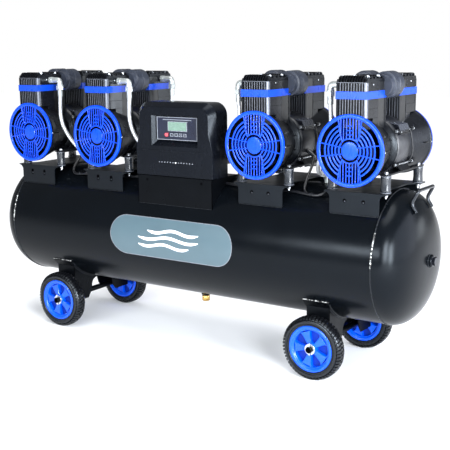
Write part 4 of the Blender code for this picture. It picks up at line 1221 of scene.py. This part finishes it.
def make_control_cover():
    """A moulded shell: bevelled sides, a stepped front and a tapered recess for the display."""
    shape = Shape(MOULDED)
    outer = cover_outline(0.0, 0.0, 0.042)
    edge = cover_outline(0.015, 0.014, 0.034)
    face = cover_outline(0.018, 0.0168, 0.033)
    levels = ((-0.088, outer), (-0.15, outer), (-0.1692, edge), (BOX_FRONT, face))
    rows = shape.loft([[(x, y, z) for x, z in outline] for y, outline in levels], cap=False)
    shape.face(rows[0])
    mouth = rect_points(face, (-0.0885, 0.0965), (0.6855, 0.7855))
    floor = rect_points(face, (PANEL_X[0] - 0.001, PANEL_X[1] + 0.001), (0.705, 0.781))
    recess = shape.loft([[(x, BOX_FRONT, z) for x, z in mouth], [(x, -0.15, z) for x, z in floor]],
                        cap=False)
    shape.face(recess[-1])
    count = len(face)
    for i in range(count):
        j = (i + 1) % count
        shape.face((rows[-1][i], rows[-1][j], recess[0][j], recess[0][i]))
    add_ledge(shape)
    place("cover_moulding", shape.mesh("cover_moulding", 20), FRAME_BODY,
          ["control_cover"], 0.0007)


def make_lamps():
    """A row of small dots on the cover, with a larger white one in the middle."""
    dots = Shape(PRINT, WHITE)
    y, z = BOX_FRONT + 0.0001, 0.6333
    for i in range(13):
        if i != 6:
            dots.screw((-0.0581 + 0.0111 * i, y, z), "-Y", 0.0015, 0.0004)
    dots.use(WHITE).screw((0.0085, y, z), "-Y", 0.0024, 0.0008)
    place("cover_lamps", dots.mesh("cover_lamps", 50), FRAME_BODY)


def frame_ring(shape, x, z, width, y):
    """A flat rectangular ring made of four bars."""
    shape.box((x[0], x[1]), y, (z[0], z[0] + width))
    shape.box((x[0], x[1]), y, (z[1] - width, z[1]))
    shape.box((x[0], x[0] + width), y, (z[0] + width, z[1] - width))
    shape.box((x[1] - width, x[1]), y, (z[0] + width, z[1] - width))


def make_display():
    """The panel film with its trim, its window's frame and the window."""
    shape = Shape(NAVY, SILVER, LCD)
    shape.box(PANEL_X, (-0.16, -0.1525), PANEL_Z)
    shape.use(SILVER)
    trim_x = (PANEL_X[0] - 0.0005, PANEL_X[1] + 0.0005)
    frame_ring(shape, trim_x, (0.7055, 0.7805), 0.0024, (-0.1615, -0.159))
    frame_ring(shape, (-0.0292, 0.0482), (0.7343, 0.7662), 0.002, (-0.1612, -0.1595))
    shape.box((-0.05, 0.066), (-0.1604, -0.1598), (0.77, 0.7728))
    shape.use(LCD).box((-0.0274, 0.0464), (-0.1606, -0.159), (0.7361, 0.7644))
    place("display_face", shape.mesh("display_face"), FRAME_BODY, ["display_panel"], 0.0003)


def make_buttons():
    """Five caps, each on its own body; the power button is red and the others have a light rim."""
    face, half_x, half_z, z = -0.1628, 0.006, 0.005, BUTTON_Z
    for label, x in BUTTONS:
        power = label == "power"
        shape = Shape(RED) if power else Shape(NAVY, PRINT)
        shape.box((x - half_x, x + half_x), (face + 0.0004, face + 0.0014), (z - half_z, z + half_z))
        shape.box((x - 0.0044, x + 0.0044), (face, face + 0.0008), (z - 0.0035, z + 0.0035))
        shape.rod("Y", (x, z), (face + 0.001, face + 0.0075), 0.0031, 16)
        if not power:
            rim_x, rim_z = (x - half_x, x + half_x), (z - half_z, z + half_z)
            frame_ring(shape.use(PRINT), rim_x, rim_z, 0.0011, (face + 0.0001, face + 0.0006))
            shape.box((x - 0.0022, x + 0.0022), (face - 0.00012, face + 0.0002), (z - 0.0004, z + 0.0004))
        place(f"cap_{label}", shape.mesh(f"cap_{label}"), f"{label}_button", [f"button_{label}"],
              0.0003)


# ---- air lines, cables and valves ---------------------------------------------------
def add_hose(shape, pump_x, inward, side, tail):
    """One elbow, its nuts, and a braided hose to its port, which is the end of the tail."""
    def at(out, y, z):
        return (pump_x + inward * out, side * y, z)

    y, z = ELBOW_Y, ELBOW_Z
    elbow = [at(0.0482, y, z), at(0.07, y, z), at(ELBOW_X, y, z), at(ELBOW_X, y, 0.868)]
    shape.use(NICKEL).tube(rounded(elbow, 0.014, 8), 0.0098, 24)
    for near, far, radius, sides in ((0.0483, 0.056, 0.0124, 6), (0.056, 0.064, 0.0108, 28)):
        nut = sorted((pump_x + inward * near, pump_x + inward * far))
        shape.rod("X", (side * y, z), nut, radius, sides, 0.001)
    top = at(ELBOW_X, y, 0)[:2]
    for low, high, radius, sides, chamfer in ((0.856, 0.872, 0.0132, 6, 0.0014),
                                              (0.8715, 0.8765, 0.0112, 28, 0.001),
                                              (0.833, 0.8565, 0.0088, 28, 0.001)):
        shape.rod("Z", top, (low, high), radius, sides, chamfer)
    drop = [at(ELBOW_X, y, 0.846), at(0.0955, y, 0.835), at(0.0935, y, 0.8), at(0.0935, y, 0.765),
            at(0.103, 0.119, 0.728), at(0.123, 0.112, 0.69), *tail]
    shape.use(BRAID).tube(curve_through(drop, 7), 0.0065, 20)
    before, port = Vector(tail[-2]), Vector(tail[-1])
    lead = (before - port).normalized()
    shape.use(NICKEL).tube([port, port + lead * 0.018], 0.008, 20)
    shape.tube([port + lead * 0.001, port + lead * 0.009], 0.0098, 6)


def make_outer_line(name, pump_x, inward):
    """The two hoses of an outer pump and the small tee where they enter the tank."""
    x, z = pump_x + inward * 0.16, 0.613
    shape = Shape(NICKEL, BRAID)
    shape.rod("Z", (x, 0), (0.5806, 0.63), 0.0125, 32, 0.001)
    shape.rod("Z", (x, 0), (0.5806, 0.592), 0.0135, 6, 0.001)
    shape.rod("Y", (x, z), (-0.036, 0.036), 0.0105, 32, 0.001)
    shape.rod("Z", (x, 0), (0.628, 0.633), 0.01, 6, 0.001)
    for side in (-1, 1):
        tail = [(x - inward * 0.016, side * 0.098, 0.656), (x - inward * 0.003, side * 0.076, 0.628),
                (x, side * 0.053, z + 0.002), (x, side * 0.03, z)]
        add_hose(shape, pump_x, inward, side, tail)
    place(f"{name}_hoses", shape.mesh(name, 40), FRAME_BODY, [name])


def make_centre_line():
    """The manifold on the tank's crown and the four hoses of the inner pumps."""
    shape = Shape(NICKEL, BRAID, BRASS)
    shape.use(BRASS).rod("X", (0, 0.615), (-0.085, 0.085), 0.0132, 32, 0.0015)
    for x in (-0.08, -0.03, 0.03, 0.08):
        shape.rod("X", (0, 0.615), (x - 0.005, x + 0.005), 0.014, 6, 0.001)
    shape.rod("Z", (0, 0), (0.593, 0.632), 0.0125, 6, 0.001)
    for pump_x, inward in ((-INNER_X, 1), (INNER_X, -1)):
        for side in (-1, 1):
            route = ((0.172, 0.09, 0.664), (0.148, 0.068, 0.643), (0.094, 0.04, 0.622),
                     (0.063 + 0.002 * side, 0.02, 0.6165), (0.059 + 0.002 * side, 0.009, 0.6155))
            add_hose(shape, pump_x, inward, side, [(-inward * x, side * y, z) for x, y, z in route])
    place("air_line_centre_hoses", shape.mesh("air_line_centre", 40), FRAME_BODY,
          ["air_line_centre"])


def make_wiring():
    """A cable trunk and a branch on each shoulder of the tank, with boots and four ties."""
    radius = 0.0045
    lift = radius + 0.0012
    on_tank = ((0.1509, -0.088), (0.19, -0.092), (0.26, -0.098), (0.33, -0.1), (0.4, -0.098),
               (0.45, -0.104),
               (0.495, -0.106))
    trunk_rise = ((0.519, -0.09, 0.572), (0.526, -0.056, 0.6), (0.526, -0.022, 0.634),
                  (0.5325, -0.002, 0.664),
                  (0.55, 0.0, 0.676))
    branch_rise = ((0.44, -0.09, 0.57), (0.432, -0.06, 0.598), (0.43, -0.024, 0.634),
                   (0.4225, -0.002, 0.664),
                   (0.4045, 0.0, 0.676))
    trunk = [*[(x, y, tank_z(y, lift)) for x, y in on_tank], *trunk_rise]
    branch = [(0.455, -0.104, tank_z(-0.104, lift)), *branch_rise]
    for side, name in ((-1, "wiring_left"), (1, "wiring_right")):
        shape = Shape(CABLE, BUFFER)
        routes = [[(side * x, y, z) for x, y, z in route] for route in (trunk, branch)]
        for route, thick in zip(routes, (radius, radius * 0.93)):
            shape.tube(curve_through(route, 7), thick, 14)
        shape.use(BUFFER)
        for route in routes:
            end = Vector(route[-1])
            lead = (Vector(route[-2]) - end).normalized()
            shape.tube([end, end + lead * 0.012, end + lead * 0.03], [0.0074, 0.0068, 0.0052], 16)
        for x, y in ((0.215, -0.0945), (0.3, -0.0995), (0.365, -0.0992), (0.475, -0.1055)):
            tie = [(side * x, y + v, tank_z(y, lift) + w) for v, w in circle(0.0053, 20)]
            shape.tube(tie, 0.001, 6, cap=False)
        place(f"{name}_cable", shape.mesh(name, 50), FRAME_BODY, [name])


def make_outlet_valve():
    """The shut-off valve behind the control box, and its quarter-turn lever."""
    shape = Shape(BRASS, HOLE_SHADOW)
    at, pivot = (0, VALVE_Y), (0, LEVER_Z)
    shape.rod("Z", at, (0.571, 0.59), 0.0104, 32, 0.001)
    shape.rod("Z", at, (0.588, 0.599), 0.0145, 8, 0.001)
    body = ((0.0105, 0.598), (0.0138, 0.601), (0.0145, 0.608), (0.0145, 0.616), (0.0138, 0.623),
            (0.0105, 0.626))
    shape.lathe(body, "Z", (*at, 0), 40)
    shape.rod("Z", at, (0.625, 0.636), 0.0145, 8, 0.001)
    for i in range(7):
        z = 0.637 + 0.0031 * i
        shape.rod("Z", at, (z, z + 0.0026), 0.0105, 32, 0.0009)
    shape.rod("Z", at, (0.634, 0.66), 0.0092, 32)
    shape.rod("Y", pivot, (VALVE_Y, 0.1184), 0.0075, 28, 0.0008)
    # Painted shadow: a near-black disc on the stem's top.
    shape.use(HOLE_SHADOW).rod("Z", at, (0.6595, 0.6603), 0.0062, 24)
    place("shut_off_valve", shape.mesh("shut_off_valve"), FRAME_BODY, ["outlet_valve"], 0.0003)
    lever = Shape(RED, STEEL)
    inner = 0.1188
    outline = ((-0.009, 0.62), (-0.009, 0.604), (0.012, 0.604), (0.03, 0.606), (0.076, 0.6065),
               (0.08, 0.612),
               (0.076, 0.6175), (0.03, 0.618), (0.012, 0.62))
    grip = [(x * 0.62 + 0.03, LEVER_Z + (z - LEVER_Z) * 0.45) for x, z in outline]
    lever.prism(outline, "Y", (inner, inner + 0.0026))
    lever.prism(grip, "Y", (inner + 0.0024, inner + 0.0034))
    lever.use(STEEL).rod("Y", pivot, (inner + 0.002, inner + 0.0078), 0.0055, 6, 0.0006)
    place("valve_lever", lever.mesh("valve_lever"), "outlet_handle", ["outlet_lever"],
          0.0006)


def make_relief_valve():
    """The relief valve on the manifold, with six vents drawn as near-black rods of painted shadow, and its
    pull ring.
    """
    relief = Shape(BRASS, HOLE_SHADOW)
    relief.rod("Z", (0, 0), (0.6225, 0.634), 0.0047, 24)
    relief.rod("Z", (0, 0), (0.6323, 0.644), 0.0115, 6, 0.001)
    bonnet = ((0.0075, 0.643), (0.0085, 0.645), (0.0085, 0.658), (0.0078, 0.662), (0.006, 0.664),
              (0.0, 0.664))
    relief.lathe(bonnet, "Z", ORIGIN, 32)
    # Painted shadow: the vents are near-black rods, not holes.
    relief.use(HOLE_SHADOW)
    for i in range(6):
        with relief.moved(Matrix.Rotation(tau * i / 6, 4, "Z")):
            relief.rod("X", (0, 0.652), (0.0076, 0.0087), 0.0016, 12)
    place("relief_valve", relief.mesh("relief_valve"), FRAME_BODY, ["safety_valve"], 0.0003)
    ring = Shape(STEEL)
    ring.rod("Z", (0, 0), (0.6525, 0.672), 0.0019, 14, 0.0003)
    turns = [radians(-84 + 348 * i / 32) for i in range(33)]
    ring.tube([(0.0085 * cos(a), 0.0, 0.6795 + 0.0085 * sin(a)) for a in turns], 0.0014, 10)
    place("relief_pull_ring", ring.mesh("relief_pull_ring", 50), "relief_ring", ["safety_ring"])


def make_drain_tap():
    """A knurled tap under the tank's middle."""
    drain = Shape(BRASS)
    drain.rod("Z", (0, 0), (0.1468, 0.165), 0.007, 28)
    grip = ((0.0, 0.128), (0.0118, 0.128), (0.0134, 0.1296), (0.0134, 0.1455), (0.012, 0.1472),
            (0.0, 0.1472))
    drain.lathe(grip, "Z", ORIGIN, 72, wobble=lambda a: -0.035 + 0.035 * cos(24 * a))
    place("drain_grip", drain.mesh("drain_grip", 50), "drain_tap", ["drain_knob"])


# ---- floor, light and camera --------------------------------------------------------
def make_stage():
    """A white floor and a pale room; the camera sees the room as pure white."""
    made = Shader("studio_floor", 0.9, specular=0.1)
    made.colour(made.ramp(made.noise(3.0), srgb(250, 250, 251), srgb(254, 254, 255)))
    shape = Shape(made.mat)
    shape.prism([(-14, -0.02), (14, -0.02), (14, 0.0), (-14, 0.0)], "X", (-14, 14))
    floor = bpy.data.objects.new("studio_floor", shape.mesh("studio_floor"))
    bpy.context.scene.collection.objects.link(floor)
    world = bpy.data.worlds.new("studio")
    bpy.context.scene.world = world
    world.use_nodes = True
    tree = world.node_tree
    room = tree.nodes["Background"]
    room.inputs["Color"].default_value = (0.94, 0.97, 1.0, 1.0)
    room.inputs["Strength"].default_value = 0.4
    backdrop = tree.nodes.new("ShaderNodeBackground")
    backdrop.inputs["Color"].default_value = (1.0, 1.0, 1.0, 1.0)
    rays, pick = tree.nodes.new("ShaderNodeLightPath"), tree.nodes.new("ShaderNodeMixShader")
    tree.links.new(rays.outputs["Is Camera Ray"], pick.inputs["Fac"])
    tree.links.new(room.outputs["Background"], pick.inputs[1])
    tree.links.new(backdrop.outputs["Background"], pick.inputs[2])
    tree.links.new(pick.outputs["Shader"], tree.nodes["World Output"].inputs["Surface"])
    bpy.context.scene.view_settings.view_transform = "Standard"


def softbox(name, place_at, target, size, power, colour=(0.9, 0.95, 1.0)):
    """A rectangular lamp aimed at a point."""
    light = bpy.data.lights.new(name, "AREA")
    light.shape = "RECTANGLE"
    light.size, light.size_y = size
    light.energy = power
    light.color = colour
    lamp = bpy.data.objects.new(name, light)
    bpy.context.scene.collection.objects.link(lamp)
    lamp.location = place_at
    aim = Vector(target) - Vector(place_at)
    lamp.rotation_mode = "QUATERNION"
    lamp.rotation_quaternion = aim.to_track_quat("-Z", "Y")


def make_lights():
    """A broad overhead sun and five softboxes."""
    sky = bpy.data.lights.new("sky", "SUN")
    sky.energy, sky.angle = 2.2, radians(40)
    lamp = bpy.data.objects.new("sky", sky)
    bpy.context.scene.collection.objects.link(lamp)
    lamp.rotation_mode = "QUATERNION"
    lamp.rotation_quaternion = Vector((-0.12, 0.1, -0.98)).to_track_quat("-Z", "Y")
    softbox("front", (0.38, -2.75, 1.12), (0.5, 0, 0.45), (2.5, 0.5), 92)
    softbox("key", (3.2, -2.55, 1.28), (0.75, 0, 0.45), (0.95, 1.7), 220)
    softbox("panel", (3.8, -1.5, 0.9), (0.2, -0.1, 0.65), (0.7, 1.4), 170)
    softbox("far", (5.0, 5.3, 0.95), (-0.4, 0, 0.7), (1.7, 1.5), 46)
    softbox("side", (3.8, 0.8, 1.25), (0.8, 0, 0.45), (3.2, 2.3), 100, (0.84, 0.88, 1.0))


def make_camera():
    """The photograph's camera, fitted to the tank's seams, crown, ends and wheels."""
    data = bpy.data.cameras.new("camera")
    data.lens = 72.493
    data.sensor_width = 36.0
    data.clip_end = 50.0
    camera = bpy.data.objects.new("camera", data)
    bpy.context.scene.collection.objects.link(camera)
    yaw, pitch, roll = radians(33.9287), radians(11.161), radians(-0.6351)
    right = Vector((cos(yaw), sin(yaw), 0.0))
    ahead = Vector((-sin(yaw) * cos(pitch), cos(yaw) * cos(pitch), -sin(pitch)))
    up = right.cross(ahead)
    across = cos(roll) * right + sin(roll) * up
    over = -sin(roll) * right + cos(roll) * up
    turn = Matrix((across, over, -ahead)).transposed().to_4x4()
    camera.matrix_world = Matrix.Translation((1.77398, -2.51318, 1.00352)) @ turn
    bpy.context.scene.camera = camera


def make_object():
    """Every piece of the compressor."""
    make_tank()
    make_end_plug(1, "end_plug_right")
    make_end_plug(-1, "end_plug_left")
    make_handle()
    make_nameplate()
    tyre, hub = make_tyre_mesh(), make_hub_mesh()
    for side, end in ((-1, "left"), (1, "right")):
        make_axle_frame(side, end)
        for way, face in ((-1, "front"), (1, "rear")):
            body = f"wheel_{face}_{end}"
            at = Matrix.Translation((side * WHEEL_X, way * WHEEL_Y, WHEEL_Z))
            place(f"{body}_tyre", tyre, body, [f"tyre_{face}_{end}"], 0.0, at)
            place(f"{body}_hub", hub, body, [f"hub_{face}_{end}"], 0.0006, at)
    make_pumps()
    make_control_base()
    make_control_cover()
    make_lamps()
    make_display()
    make_buttons()
    make_outer_line("air_line_left", -OUTER_X, 1)
    make_outer_line("air_line_right", OUTER_X, -1)
    make_centre_line()
    make_wiring()
    make_outlet_valve()
    make_relief_valve()
    make_drain_tap()


make_camera()
make_object()
make_stage()
make_lights()
